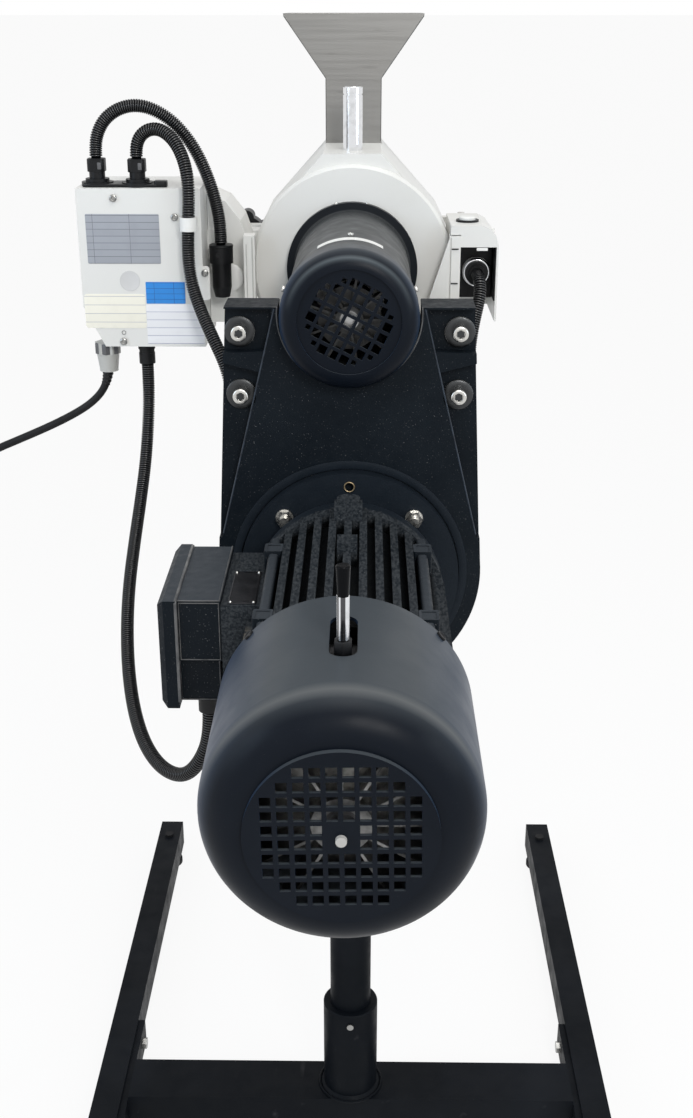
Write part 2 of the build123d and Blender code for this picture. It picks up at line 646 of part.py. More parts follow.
def casting_outline():
    """Outer edge of the casting: straight sides running into the round lobe at the motor."""
    sides = polygon((-CASTING_HALF_TOP, CASTING_TOP), (CASTING_HALF_TOP, CASTING_TOP),
                    (LOBE_RADIUS, MOTOR_Z), (-LOBE_RADIUS, MOTOR_Z))
    return sides + Pos(0, MOTOR_Z) * Circle(LOBE_RADIUS)


def tangent_point(x, z, radius):
    """Where a line from (x, z) touches the circle round the motor axis, on the right side."""
    dx, dz = x, z - MOTOR_Z
    distance = math.hypot(dx, dz)
    angle = math.atan2(dz, dx) - math.acos(radius / distance)
    return radius * math.cos(angle), MOTOR_Z + radius * math.sin(angle)


def casting_pocket(side):
    """Sunk corner beside the raised middle, open at the outer side, in two parts around a cross rib."""
    touch_x, touch_z = tangent_point(TRAPEZOID_HALF, CASTING_TOP, LOBE_RADIUS)
    slope = (touch_x - TRAPEZOID_HALF) / (CASTING_TOP - touch_z)

    def inner(z):
        return side * (TRAPEZOID_HALF + slope * (CASTING_TOP - z)), z

    def outer(z):
        return side * (LOBE_RADIUS + 5), z

    top = CASTING_TOP - 1.5
    low = CASTING_TOP - (CASTING_HALF_TOP - TRAPEZOID_HALF - 3) / (slope - RIM_SLOPE)
    rib_top, rib_low = (1009.5, 1011.5), (1005.0, 993.0)
    upper = polygon(inner(top), outer(top), outer(rib_top[0]), inner(rib_top[1]))
    lower = polygon(inner(rib_low[1]), outer(rib_low[0]), outer(low), inner(low))
    return [plate_y(outline, CASTING_REAR - 1, CASTING_REAR + POCKET_DEPTH) for outline in (upper, lower)]


RIM_SLOPE = (LOBE_RADIUS - CASTING_HALF_TOP) / (CASTING_TOP - MOTOR_Z)


def belt_casting():
    """Cast belt housing that carries the motor and bolts to the mill frame by its ears."""
    casting = plate_y(casting_outline(), CASTING_REAR, CASTING_FRONT)
    for side in (-1, 1):
        for pocket in casting_pocket(side):
            casting -= pocket
    touch_x, touch_z = tangent_point(46, 990, 70)
    inside = polygon((-46, 990), (46, 990), (touch_x, touch_z), (-touch_x, touch_z)) + Pos(0, MOTOR_Z) * Circle(70)
    casting -= plate_y(inside, CASTING_REAR + 7, CASTING_FRONT + 1)
    casting += ring_y(CUT_OUT_RADIUS + 5, CUT_OUT_RADIUS, CASTING_REAR, CASTING_FRONT, SPINDLE_Z) & block(
        -100, 100, CASTING_REAR, CASTING_FRONT, 900, CASTING_TOP)
    casting -= rod_y(CUT_OUT_RADIUS, CASTING_REAR - 1, CASTING_FRONT + 1, 0, SPINDLE_Z)
    casting -= block(-38, 38, BELT_Y - 12, CASTING_FRONT + 1, SPINDLE_Z - 72, SPINDLE_Z - 30)
    casting -= rod_y(65.05, CASTING_REAR - 1, CASTING_REAR + 8, 0, MOTOR_Z)
    for side in (-1, 1):
        for z in EAR_BOLT_Z:
            casting -= rod_y(4.2, CASTING_REAR, CASTING_FRONT + 1, side * EAR_BOLT_X, z)
            casting -= rod_y(WASHER_RADIUS + 0.3, CASTING_REAR - 1, CASTING_REAR + POCKET_DEPTH, side * EAR_BOLT_X, z)
    for x, z in flange_studs():
        casting -= rod_y(4.0, CASTING_REAR - 1, CASTING_REAR + 16, x, z)
    return casting


def belt_cover():
    """Flat cover on the front of the casting."""
    face = casting_outline() - Pos(0, SPINDLE_Z) * Circle(CUT_OUT_RADIUS + 0.5)
    cover = plate_y(face, CASTING_FRONT, CASTING_FRONT + 2.9)
    for side in (-1, 1):
        for z in EAR_BOLT_Z:
            cover -= rod_y(4.2, CASTING_FRONT - 1, CASTING_FRONT + 4, side * EAR_BOLT_X, z)
    return cover


def casting_bolts():
    """Stainless socket screws through the ears, each on a wide washer."""
    seat = CASTING_REAR + POCKET_DEPTH
    solids = []
    for side in (-1, 1):
        for z in EAR_BOLT_Z:
            x = side * EAR_BOLT_X
            washer = ring_y(WASHER_RADIUS, 4.3, seat - 3, seat, z, x)
            screw = rod_y(6.8, seat - 11.5, seat - 3, x, z) + rod_y(3.4, seat - 3, -92, x, z)
            screw = screw - hexagon_y(6, seat - 12, seat - 7, x, z)
            solids += [washer, screw]
    return group(*solids)


def drive_belt():
    """Flat ribbed belt round both pulleys."""
    def loop(extra):
        big = MOTOR_PULLEY_RADIUS + extra
        small = SPINDLE_PULLEY_RADIUS + extra
        tilt = math.asin((big - small) / (SPINDLE_Z - MOTOR_Z))
        c, s = math.cos(tilt), math.sin(tilt)
        quad = polygon((big * c, MOTOR_Z + big * s), (small * c, SPINDLE_Z + small * s),
                       (-small * c, SPINDLE_Z + small * s), (-big * c, MOTOR_Z + big * s))
        return quad + Pos(0, MOTOR_Z) * Circle(big) + Pos(0, SPINDLE_Z) * Circle(small)
    return plate_y(loop(3.0) - loop(0.0), BELT_Y - 8, BELT_Y + 8)


def motor_pulley():
    wheel = rod_y(MOTOR_PULLEY_RADIUS - 0.4, BELT_Y - 9, BELT_Y + 9, 0, MOTOR_Z)
    wheel -= ring_y(52, 26, BELT_Y + 2, BELT_Y + 10, MOTOR_Z)
    for y in (BELT_Y - 11, BELT_Y + 9):
        wheel += ring_y(64, 52, y, y + 2, MOTOR_Z)
    return wheel - rod_y(12.0, BELT_Y - 12, BELT_Y + 12, 0, MOTOR_Z)


# Brake motor

def flange_studs():
    reach = FLANGE_PCD / 2 * math.cos(math.radians(45))
    return [(sx * reach, MOTOR_Z + sz * reach) for sx in (-1, 1) for sz in (-1, 1)]


def motor_flange():
    """End shield with the round fixing flange, its register and the drive-end bearing seat."""
    front = MOTOR_FRAME_FRONT
    profile = [(12.6, -200), (64, front), (FIN_RADIUS - 1.5, front), (FIN_RADIUS - 1.5, front + 15), (74, -180),
               (70, -172), (66, -166), (66, CASTING_REAR - 12),
               (FLANGE_RADIUS, CASTING_REAR - 12), (FLANGE_RADIUS, CASTING_REAR), (65, CASTING_REAR),
               (65, CASTING_REAR + 5), (12.6, CASTING_REAR + 5)]
    shield = revolved_y(profile, MOTOR_Z)
    shield -= rod_y(26.0, -180, -160, 0, MOTOR_Z)
    shield -= rod_y(22, -205, -179, 0, MOTOR_Z)
    for x, z in flange_studs():
        shield -= rod_y(4.5, CASTING_REAR - 13, CASTING_REAR + 1, x, z)
    return shield - rod_y(4.4, CASTING_REAR - 13, CASTING_REAR - 5, 0, MOTOR_Z + 87.5)


def flange_nuts():
    """Studs in the casting, each with its hex nut and washer on the flange."""
    face = CASTING_REAR - 12
    solids = []
    for x, z in flange_studs():
        stud = rod_y(4.0, face - 13, CASTING_REAR + 15, x, z)
        nut = hexagon_y(13, face - 8.4, face - 1.6, x, z) + rod_y(8, face - 1.6, face, x, z)
        solids.append(stud + nut)
    return group(*solids)


def fin_blocks(front, rear):
    """Cooling fins: upright above and below, level at the sides, their tips on one circle."""
    fins = []
    root = 71.0
    half = (FIN_COUNT - 1) // 2
    for k in range(-half, half + 1):
        x = k * FIN_PITCH
        inner = math.sqrt(root * root - x * x) - 3
        outer = math.sqrt(FIN_RADIUS ** 2 - (abs(x) + FIN_HALF) ** 2)
        for side in (-1, 1):
            z = sorted((MOTOR_Z + side * inner, MOTOR_Z + side * outer))
            fins.append(block(x - FIN_HALF, x + FIN_HALF, rear, front, z[0], z[1]))
    for k in range(-2, 3):
        dz = k * FIN_PITCH
        inner = math.sqrt(root * root - dz * dz) - 3
        outer = math.sqrt(FIN_RADIUS ** 2 - (abs(dz) + FIN_HALF) ** 2)
        for low, high in ((inner, outer), (-outer, -inner)):
            fins.append(block(low, high, rear, front, MOTOR_Z + dz - FIN_HALF, MOTOR_Z + dz + FIN_HALF))
    return fins


def motor_frame():
    """Finned stator housing with the terminal box base, eye boss, lug and cowl lugs, and its rear shield."""
    body = rod_y(73, MOTOR_FRAME_REAR, MOTOR_FRAME_FRONT, 0, MOTOR_Z)
    body = body + fin_blocks(MOTOR_FRAME_FRONT, MOTOR_FRAME_REAR)
    body += rod_y(FIN_RADIUS - 1, MOTOR_FRAME_FRONT - 13, MOTOR_FRAME_FRONT, 0, MOTOR_Z)
    body += block(-101, -60, -318, MOTOR_FRAME_FRONT - 1, 762, 846)
    body += block(-12, 12, -236, -210, MOTOR_Z + 66, MOTOR_Z + 94)
    body += rod_z(10, MOTOR_Z + 66, MOTOR_Z + 97, 0, -214)
    body += block(-8, 8, -308, -290, MOTOR_Z + 66, MOTOR_Z + 93)
    for i in range(4):
        lug = block(70, MOTOR_COWL_RADIUS - COWL_WALL - 0.4, MOTOR_FRAME_REAR, MOTOR_FRAME_REAR + 14, -6, 6)
        body += Pos(0, 0, MOTOR_Z) * Rot(0, 45 + 90 * i, 0) * lug
    body -= rod_y(64, MOTOR_FRAME_REAR - 1, MOTOR_FRAME_FRONT + 1, 0, MOTOR_Z)
    shield = rod_y(63.9, -434, -406, 0, MOTOR_Z) + rod_y(76, -428, MOTOR_FRAME_REAR - 0.1, 0, MOTOR_Z)
    shield -= rod_y(26, -431, -400, 0, MOTOR_Z) + rod_y(14, -440, -425, 0, MOTOR_Z)
    return group(body, shield)


def motor_stator():
    """Laminated ring with the winding heads at both ends."""
    core = ring_y(63.8, 45.0, -372, -238, MOTOR_Z)
    heads = [ring_y(61, 47, -396, -372.1, MOTOR_Z), ring_y(61, 47, -237.9, -214, MOTOR_Z)]
    return group(core, *heads)


def motor_rotor():
    """Shaft with the cage rotor pressed on, and the brake hub."""
    shaft = rod_y(12.0, -570, -112, 0, MOTOR_Z)
    cage = ring_y(44.5, 12.0, -380, -230, MOTOR_Z)
    return group(shaft, cage)


def brake_magnet():
    """Coil body of the spring brake, screwed to the rear shield."""
    body = ring_y(66, 16, -474, -434.1, MOTOR_Z)
    for i in range(3):
        angle = math.radians(30 + 120 * i)
        body += rod_y(4, -490, -473, 58 * math.cos(angle), MOTOR_Z + 58 * math.sin(angle))
    return body


def brake_disc():
    return ring_y(52, 12.0, -488, -478, MOTOR_Z) + ring_y(20, 12.0, -494, -487, MOTOR_Z)


LEVER_ROD = 3.2


def brake_lever():
    """Release stirrup over the brake with its chromed rod."""
    bow = ring_y(62, 55, LEVER_Y - 4, LEVER_Y + 4, MOTOR_Z) & block(-70, 70, -520, -480, LEVER_PIVOT_Z - 10, 900)
    pads = [rod_x(4.0, min(a, b), max(a, b), LEVER_Y, LEVER_PIVOT_Z) for a, b in ((34, 46), (-46, -34))]
    lever = bow + rod_z(LEVER_ROD, MOTOR_Z + 58, 944, 0, LEVER_Y)
    for pad in pads:
        lever += pad
    return lever


def brake_lever_grip():
    grip = Pos(0, LEVER_Y, 947.5) * Cone(3.9, 5.0, 21)
    grip = fillet(grip.edges().group_by(Axis.Z)[-1], 1.5)
    return grip - rod_z(LEVER_ROD + 0.02, 930, 944.1, 0, LEVER_Y)


def grille_holes(rows):
    """Square holes on a grid; each row says how many holes it has and how many are missing in its middle."""
    holes = []
    for j, (count, missing) in enumerate(rows):
        w = ((len(rows) - 1) / 2 - j) * GRILLE_PITCH
        for i in range(count):
            offset = i - (count - 1) / 2
            if abs(offset) * 2 < missing:
                continue
            holes.append(Pos(offset * GRILLE_PITCH, 0, w) * Box(GRILLE_HOLE, 14, GRILLE_HOLE))
    return Compound(children=holes)


def motor_cowl():
    """Fan cowl: wide round shoulder, flat grille with its middle bolt, and the slot for the release lever."""
    r = MOTOR_COWL_RADIUS
    s = MOTOR_COWL_RADIUS - GRILLE_RADIUS
    end = MOTOR_FRAME_REAR + 3
    profile = make_face(
        Polyline((0, GRILLE_REAR + COWL_WALL), (0, GRILLE_REAR), (GRILLE_RADIUS, GRILLE_REAR),
                 (GRILLE_RADIUS, DOME_REAR))
        + [RadiusArc((GRILLE_RADIUS, DOME_REAR), (r, DOME_REAR + s), -s)]
        + Polyline((r, DOME_REAR + s), (r, end), (r - COWL_WALL, end), (r - COWL_WALL, DOME_REAR + s))
        + [RadiusArc((r - COWL_WALL, DOME_REAR + s), (GRILLE_RADIUS, DOME_REAR + COWL_WALL), s - COWL_WALL)]
        + Polyline((GRILLE_RADIUS, DOME_REAR + COWL_WALL), (GRILLE_RADIUS - COWL_WALL, DOME_REAR + COWL_WALL),
                   (GRILLE_RADIUS - COWL_WALL, GRILLE_REAR + COWL_WALL), (0, GRILLE_REAR + COWL_WALL)))
    cowl = Pos(0, 0, MOTOR_Z) * revolve(profile, Axis.Y, 360)
    rows = [(6, 0), (8, 0), (10, 0), (10, 0), (10, 2), (10, 2), (10, 0), (10, 0), (8, 0), (6, 0)]
    cowl -= Pos(0, GRILLE_REAR + 1, MOTOR_Z + 1.5) * Rot(0, -1.1, 0) * grille_holes(rows)
    cowl += rod_y(3.6, MOTOR_COWL_REAR, GRILLE_REAR, 0, MOTOR_Z)
    slot = block(-9.5, 9.5, -503, -459, 870, 920) + rod_z(9.5, 870, 920, 0, -503) + rod_z(9.5, 870, 920, 0, -459)
    return cowl - slot


def terminal_box():
    """Lower half of the terminal box, stepped at its foot where the gland sits."""
    box = block(-137, -101.1, -318, -200, 797, 850)
    box += block(-137, -103, -312, -200, 758, 797)
    box -= block(-138, -108, -306, -206, 768, 844)
    return box


def terminal_box_lid():
    lid = block(-152, -137.1, -321, -197, 755, 851)
    return chamfer(lid.faces().sort_by(Axis.X)[0].edges(), 5)


GLAND_BODY = 7.7
GLAND_COLLAR = 8.2


def hose_gland(x, y, z, up, foot, height):
    """Threaded gland: foot, narrower step, slim body and the collar that the hose enters."""
    gland = None
    for radius, low, high in ((foot, 0, 4), ((foot + GLAND_BODY) / 2, 4, 7), (GLAND_BODY, 7, height - 11),
                              (GLAND_COLLAR, height - 11, height)):
        ends = sorted((z + up * low, z + up * high))
        step = rod_z(radius, ends[0], ends[1], x, y)
        gland = step if gland is None else gland + step
    return gland


LOCK_GLAND = (-249.8, 64.0)
HOOD_GLAND = (-209.7, 60.0)
MOTOR_GLAND = (-210.5, 62.0)
TOP_GLAND_HEIGHT = 26.0
LOW_GLAND_HEIGHT = 22.0


def hose_fittings():
    """Black hose glands, the angled plug at the lock and the round plug under the hood."""
    solids = [hose_gland(*LOCK_GLAND, BOX_TOP, 1, 15.5, TOP_GLAND_HEIGHT),
              hose_gland(*HOOD_GLAND, BOX_TOP, 1, 15.5, TOP_GLAND_HEIGHT),
              hose_gland(*MOTOR_GLAND, BOX_BOTTOM, -1, 9.5, LOW_GLAND_HEIGHT)]
    solids.append(rod_z(9, 743, 758, -115.5, -300))
    angled = rod_z(11.8, 1050, 1068, -131.4, 70) + rod_z(9.6, 1026, 1050, -131.4, 70)
    angled += Pos(-131.4, 70, 1021) * Cone(7.5, 9.6, 10) + rod_y(7.4, 70, 84, -131, 1029)
    solids.append(angled)
    solids.append(rod_y(11.3, 82, 97.9, HOOD_PLUG_X, HOOD_PLUG_Z) + rod_y(8.0, 78, 82, HOOD_PLUG_X, HOOD_PLUG_Z))
    return group(*solids)


def mains_gland():
    """Grey cable gland: hex foot and a tapered cap that relieves the cord."""
    x, y = MAINS_X, MAINS_Y
    gland = Pos(x, y, BOX_BOTTOM - 12) * extrude(RegularPolygon(13, 6), 12)
    gland += Pos(x, y, BOX_BOTTOM - 20) * Cone(9.5, 11.5, 16)
    gland += rod_z(9.5, BOX_BOTTOM - 30, BOX_BOTTOM - 28, x, y)
    return gland - Pos(x, y, BOX_BOTTOM - 22.5) * Cone(CORD_RADIUS + 4.5, CORD_RADIUS + 0.4, 17)


MAINS_X = -250.5
MAINS_Y = 62.0


def box_face(inset):
    left, right = BOX_LEFT + inset, BOX_RIGHT - inset
    low, high = BOX_BOTTOM + inset, BOX_TOP - inset
    return polygon((left, high), (right, high), (right, low), (left + BOX_BEVEL, low), (left, low + BOX_BEVEL * 2))


def control_box():
    """Sheet housing, open at the rear where its panel closes it, with two fixing tabs."""
    shell = plate_y(box_face(0), BOX_REAR + 3, BOX_FRONT)
    shell -= plate_y(box_face(2), BOX_REAR + 2, BOX_FRONT - 2)
    shell += block(BOX_RIGHT - 1, BOX_RIGHT + 12, BOX_REAR + 49.9, BOX_REAR + 51.9, 1050, 1080)
    for x, z in PANEL_BUTTONS:
        shell -= rod_y(11.3, BOX_FRONT - 5, BOX_FRONT + 1, x, z)
    return shell


def control_box_panel():
    """Rear cover plate of the control box, with the tab for the hose clip."""
    plate = plate_y(box_face(0), BOX_REAR, BOX_REAR + 3)
    return plate + block(-176, -150, BOX_REAR, BOX_REAR + 3, 1086, 1106)


def hose_clip():
    """White clip that holds the second hose to the panel."""
    x, y = -157.5, 26.2
    band = rod_z(HOSE_OUTER + 2.4, 1088, 1101, x, y) - rod_z(HOSE_OUTER + 0.8, 1087, 1102, x, y)
    return band + block(x - 3, x + 3, y + HOSE_OUTER + 1.2, BOX_REAR, 1090, 1099)


# Hoses and mains cord

HOSE_A = [(-249.8, 64, 1152), (-249.8, 64, 1164), (-246.2, 64, 1177.4), (-238, 64, 1189.5), (-224.7, 64, 1198.1),
          (-209, 64, 1201.3), (-192.8, 64, 1198.1), (-175.4, 65, 1187.7), (-162.9, 66, 1174.3),
          (-152.5, 67, 1158.7), (-144.3, 68, 1140.3), (-137.9, 69, 1121.1), (-133.3, 69.5, 1101.8),
          (-131.4, 70, 1084), (-131.4, 70, 1068)]
HOSE_B = [(-209.7, 60, 1152), (-209.7, 60, 1162), (-205.3, 58, 1172.6), (-196.8, 55, 1179), (-187, 52, 1180.3),
          (-177.9, 48, 1176.7), (-169.4, 43, 1169.1), (-163, 38, 1158.4), (-158.6, 32.9, 1146),
          (-156.4, 28.8, 1130.8), (-156.7, 26.4, 1112), (-158, 26, 1090), (-159, 26, 1070), (-158.6, 25.2, 1052),
          (-155.2, 21.5, 1034), (-149, 15, 1017), (-141.4, 7, 1001), (-133, -1.5, 985.2), (-124.5, -9, 969),
          (-118.5, -15, 951), (-116, -20, 931), (-112, -26, 910), (-97, -35, 895), (-70, -46, 887.5),
          (-35, -53, 885.5), (3, -56, 886.5), (41, -50, 889), (76, -35, 894.5), (102, -14, 900), (113, -2, 911),
          (116.2, 10, 930), (116.4, 16, 950), (117.5, 24, 970), (119.5, 31, 986), (122.5, 38, 1000),
          (126, 44, 1014), (128.3, 50, 1026), (127.6, 59, 1036.5), (126.5, 78, 1038)]
HOSE_C = [(-210.5, 62, 949), (-210.5, 62, 923), (-211.5, 53, 890), (-213.5, 34, 852), (-216.5, 7, 819),
          (-218.5, -30, 789), (-219, -75, 758.5), (-215.5, -120, 730.5), (-208, -165, 705), (-197, -205, 684),
          (-182, -241, 671), (-163, -269, 665), (-142, -289, 670), (-126, -298.5, 690), (-115.5, -300, 718),
          (-115.5, -300, 743)]
MAINS_CORD = [(-250.5, 62, 957), (-251, 62, 939), (-257, 62, 921), (-270.5, 62, 906.5), (-290, 62, 894),
              (-316, 62, 881), (-348, 62, 867), (-384, 61, 852), (-413, 60, 829), (-433, 58, 797),
              (-446, 57, 752), (-454, 57, 690), (-459, 58, 610), (-462, 60, 515), (-463, 63, 410),
              (-465, 67, 305), (-467, 72, 205), (-470, 73, 118), (-472, 60, 58), (-472, 24, 16),
              (-472, -12, 4), (-472, -34, 4)]
COIL_X = -524.0
COIL_Y = -42.0
COIL_RADIUS = 52.0
COIL_PITCH = 8.8
COIL_TURNS = 4.0
COIL_LIFT = 8.6
COIL_TAIL = 20.0           # straight end of the top turn, up to the plug


def cord_tube():
    path = route(MAINS_CORD, "mains_cord")
    start = Plane(origin=path @ 0, z_dir=path % 0)
    tube = sweep(start * Circle(CORD_RADIUS), path=path)
    ideal = math.pi * CORD_RADIUS ** 2 * path.length
    print("mains_cord length", round(path.length), "volume against section times length", round(tube.volume / ideal, 4))
    return tube


def coil_radius(turn):
    inward = turn if turn < COIL_TURNS / 2 else COIL_TURNS - turn
    return COIL_RADIUS - COIL_PITCH * inward


def coil_height(turn):
    rise = (turn - (COIL_TURNS / 2 - 0.25)) / 0.5
    rise = min(1.0, max(0.0, rise))
    return CORD_RADIUS + COIL_LIFT * rise * rise * (3 - 2 * rise)


def coil_point(turn):
    angle = -2 * math.pi * turn
    radius = coil_radius(turn)
    return Vector(COIL_X + radius * math.cos(angle), COIL_Y + radius * math.sin(angle), coil_height(turn))


def coil_direction(turn):
    if turn in (0.0, COIL_TURNS):
        return Vector(0, -1, 0)
    step = 0.002
    return (coil_point(turn + step) - coil_point(turn - step)).normalized()


def mains_coil():
    """Unused length of the cord: two layers of turns, spiralling in and out again."""
    edges = []
    first = coil_point(0.0)
    last = coil_point(COIL_TURNS)
    straight = Vector(0, 2 * CORD_RADIUS, 0)
    edges.append(Edge.make_line(first + straight, first))
    quarters = int(COIL_TURNS * 4)
    for q in range(quarters):
        a, b = q / 4, (q + 1) / 4
        edges += biarc(coil_point(a), coil_direction(a), coil_point(b), coil_direction(b))
    edges.append(Edge.make_line(last, last - Vector(0, COIL_TAIL, 0)))
    path = Wire(edges)
    start = Plane(origin=first + straight, z_dir=(0, -1, 0))
    tube = sweep(start * Circle(CORD_RADIUS), path=path)
    points = [coil_point(i / 96) for i in range(int(COIL_TURNS * 96) + 1)]
    least = min((points[i] - points[j]).length for i in range(0, len(points), 2)
                for j in range(i + 60, len(points), 2))
    print("mains_coil length", round(path.length), "least gap to itself", round(least - 2 * CORD_RADIUS, 2),
          "volume against section times length", round(tube.volume / (math.pi * CORD_RADIUS ** 2 * path.length), 4))
    return tube


def mains_plug():
    """Three-pin mains plug lying beside the coil: tapered relief, body and pins."""
    x = COIL_X + COIL_RADIUS
    y = COIL_Y - COIL_TAIL
    z = CORD_RADIUS + COIL_LIFT
    body = block(x - 13, x + 13, y - 54, y - 20, 0, 2 * z)
    body = fillet(body.edges().filter_by(Axis.Y), 4)
    relief = Pos(x, y - 10, z) * Rot(90, 0, 0) * Cone(4.6, 6.8, 20)
    pins = rod_y(2.4, y - 72, y - 54, x, z - 6)
    for side in (-1, 1):
        pins += block(x + side * 6.3 - 0.8, x + side * 6.3 + 0.8, y - 70, y - 54, z + 1, z + 7.5)
    return body + relief + pins


BUILDERS = {
    "stand_legs": stand_legs, "stand_feet": stand_feet, "crossbar": crossbar, "stand_bolts": stand_bolts,
    "post_sleeve": sleeve, "post": post, "post_saddle": post_saddle, "mill_frame": mill_frame,
    "chamber_back_plate": chamber_back_plate, "chamber_body": chamber_body, "ring_sieve": ring_sieve,
    "door_seal": door_seal, "guide_post": guide_post, "lock_shroud": lock_shroud, "safety_hood": safety_hood,
    "hood_button": hood_button, "button_bezels": button_bezels,
    "start_button": lambda: panel_button(*PANEL_BUTTONS[0]), "stop_button": lambda: panel_button(*PANEL_BUTTONS[1]),
    "door": door, "door_hinge": door_hinge, "door_knob": door_knob, "hopper": hopper,
    "collector_vessel": collector_vessel, "spindle_barrel": spindle_barrel, "spindle_cowl": spindle_cowl,
    "bearings": bearings, "spindle_shaft": spindle_shaft, "spindle_pulley": spindle_pulley,
    "spindle_fan": lambda: fan_wheel(8.0, 12, 44, -168, -154, SPINDLE_Z, 9), "beater_rotor": beater_rotor,
    "belt_casting": belt_casting, "belt_cover": belt_cover, "casting_bolts": casting_bolts,
    "drive_belt": drive_belt, "motor_pulley": motor_pulley, "motor_flange": motor_flange,
    "flange_nuts": flange_nuts, "motor_frame": motor_frame, "motor_stator": motor_stator,
    "motor_rotor": motor_rotor, "brake_magnet": brake_magnet, "brake_disc": brake_disc,
    "brake_lever": brake_lever, "brake_lever_grip": brake_lever_grip,
    "motor_fan": lambda: fan_wheel(12.0, 20, 80, -565, -533, MOTOR_Z, 12), "motor_cowl": motor_cowl,
    "terminal_box": terminal_box, "terminal_box_lid": terminal_box_lid, "hose_fittings": hose_fittings,
    "mains_gland": mains_gland, "control_box": control_box, "control_box_panel": control_box_panel,
    "hose_clip": hose_clip, "lock_hose": lambda: ribbed_hose(HOSE_A, "lock_hose", 80, (0, 1, 0)),
    "hood_hose": lambda: ribbed_hose(HOSE_B, "hood_hose", 190, (1, 1, -1)),
    "motor_hose": lambda: ribbed_hose(HOSE_C, "motor_hose", 190, (1, 0, 0)),
    "mains_cord": cord_tube, "mains_coil": mains_coil, "mains_plug": mains_plug,
}

for node, builder in BUILDERS.items():
    save(builder(), node)
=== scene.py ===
# %% [markdown]
# # Rotor beater mill on its floor stand
#
# The photograph looks at the mill from behind: a big brake motor hangs towards the camera, a belt drive in a black
# casting climbs from it to the spindle, and the white grinding chamber with its hopper stands behind. The solids
# come from the CAD model, and this script gives them their finish, the hoses, the labels and all small hardware.
# Everything is in metres, Z is up, and the camera stands on the -Y side.

# %% Load the frame
import math
import bmesh
import bpy
from mathutils import Matrix, Vector


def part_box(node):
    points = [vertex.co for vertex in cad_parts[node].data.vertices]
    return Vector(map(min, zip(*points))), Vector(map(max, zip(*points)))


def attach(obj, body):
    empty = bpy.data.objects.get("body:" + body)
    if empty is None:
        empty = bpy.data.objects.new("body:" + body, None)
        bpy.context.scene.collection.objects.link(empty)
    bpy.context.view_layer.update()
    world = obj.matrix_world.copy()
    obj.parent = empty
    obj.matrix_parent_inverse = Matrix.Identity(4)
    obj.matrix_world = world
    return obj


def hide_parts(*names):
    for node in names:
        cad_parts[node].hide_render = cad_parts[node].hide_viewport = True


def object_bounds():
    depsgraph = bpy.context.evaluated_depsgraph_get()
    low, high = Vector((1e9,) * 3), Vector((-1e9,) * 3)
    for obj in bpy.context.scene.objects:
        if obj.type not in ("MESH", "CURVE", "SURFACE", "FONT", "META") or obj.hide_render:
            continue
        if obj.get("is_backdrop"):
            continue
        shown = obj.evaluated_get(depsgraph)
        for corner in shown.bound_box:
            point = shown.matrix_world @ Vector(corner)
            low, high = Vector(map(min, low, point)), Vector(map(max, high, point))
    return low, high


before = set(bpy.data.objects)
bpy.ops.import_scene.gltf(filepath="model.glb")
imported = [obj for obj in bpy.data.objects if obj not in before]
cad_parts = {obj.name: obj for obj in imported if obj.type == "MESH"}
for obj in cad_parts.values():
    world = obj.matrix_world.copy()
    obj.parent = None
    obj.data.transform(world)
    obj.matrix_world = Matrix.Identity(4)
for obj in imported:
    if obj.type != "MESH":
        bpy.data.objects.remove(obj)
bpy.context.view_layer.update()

# %% [markdown]
# ## Camera
#
# The picture was taken standing, with the camera at about the height of the hopper and tilted down. The height,
# tilt and focal length come from fitting the motor's round flange and the stand's straight edges. Depth of field
# stays off, so that every view is sharp.

# %% Camera
CAMERA_PLACE = (0.01325, -1.300, 1.290)
CAMERA_TILT = 22.30
CAMERA_TURN = 0.79
LENS = 43.5
SENSOR_WIDTH = 36

camera_data = bpy.data.cameras.new("camera")
camera_data.lens = LENS
camera_data.sensor_width = SENSOR_WIDTH
camera = bpy.data.objects.new("camera", camera_data)
camera.location = CAMERA_PLACE
camera.rotation_euler = (math.radians(90 - CAMERA_TILT), 0, math.radians(CAMERA_TURN))
bpy.context.scene.collection.objects.link(camera)
bpy.context.scene.camera = camera
print("camera", CAMERA_PLACE, "tilt", CAMERA_TILT)

# %% [markdown]
# ## Helpers for materials
#
# Each finish starts from the Principled shader. Patterns read Object coordinates, which are the model's own metres,
# so a noise scale of 1000 gives grains of about a millimetre. The helpers below only save typing: they add a node,
# join it and hand back what it puts out.

# %% Nodes and patterns
def add_node(made, kind, **values):
    """Adds a node; values for its sockets are given by name, with spaces written as underscores."""
    node = made.node_tree.nodes.new(kind)
    for key, value in values.items():
        socket = node.inputs.get(key.replace("_", " "))
        if socket is not None:
            socket.default_value = value
        else:
            setattr(node, key, value)
    return node


def join(made, source, target):
    made.node_tree.links.new(source, target)


def principled(made):
    return made.node_tree.nodes["Principled BSDF"]


def object_place(made):
    return add_node(made, "ShaderNodeTexCoord").outputs["Object"]


def split(made, vector):
    """A vector's outputs X, Y and Z."""
    parts = add_node(made, "ShaderNodeSeparateXYZ")
    join(made, vector, parts.inputs["Vector"])
    return parts.outputs


def combined(made, operation, first, second):
    """What a Math node makes of two values."""
    both = add_node(made, "ShaderNodeMath", operation=operation)
    join(made, first, both.inputs[0])
    join(made, second, both.inputs[1])
    return both.outputs[0]


def noise(made, scale, detail=3.0, stretch=(1, 1, 1)):
    """A noise in Object coordinates, stretched where a grain runs one way."""
    mapping = add_node(made, "ShaderNodeMapping", Scale=stretch)
    grain = add_node(made, "ShaderNodeTexNoise", Scale=scale, Detail=detail)
    join(made, object_place(made), mapping.inputs["Vector"])
    join(made, mapping.outputs["Vector"], grain.inputs["Vector"])
    return grain.outputs["Fac"]


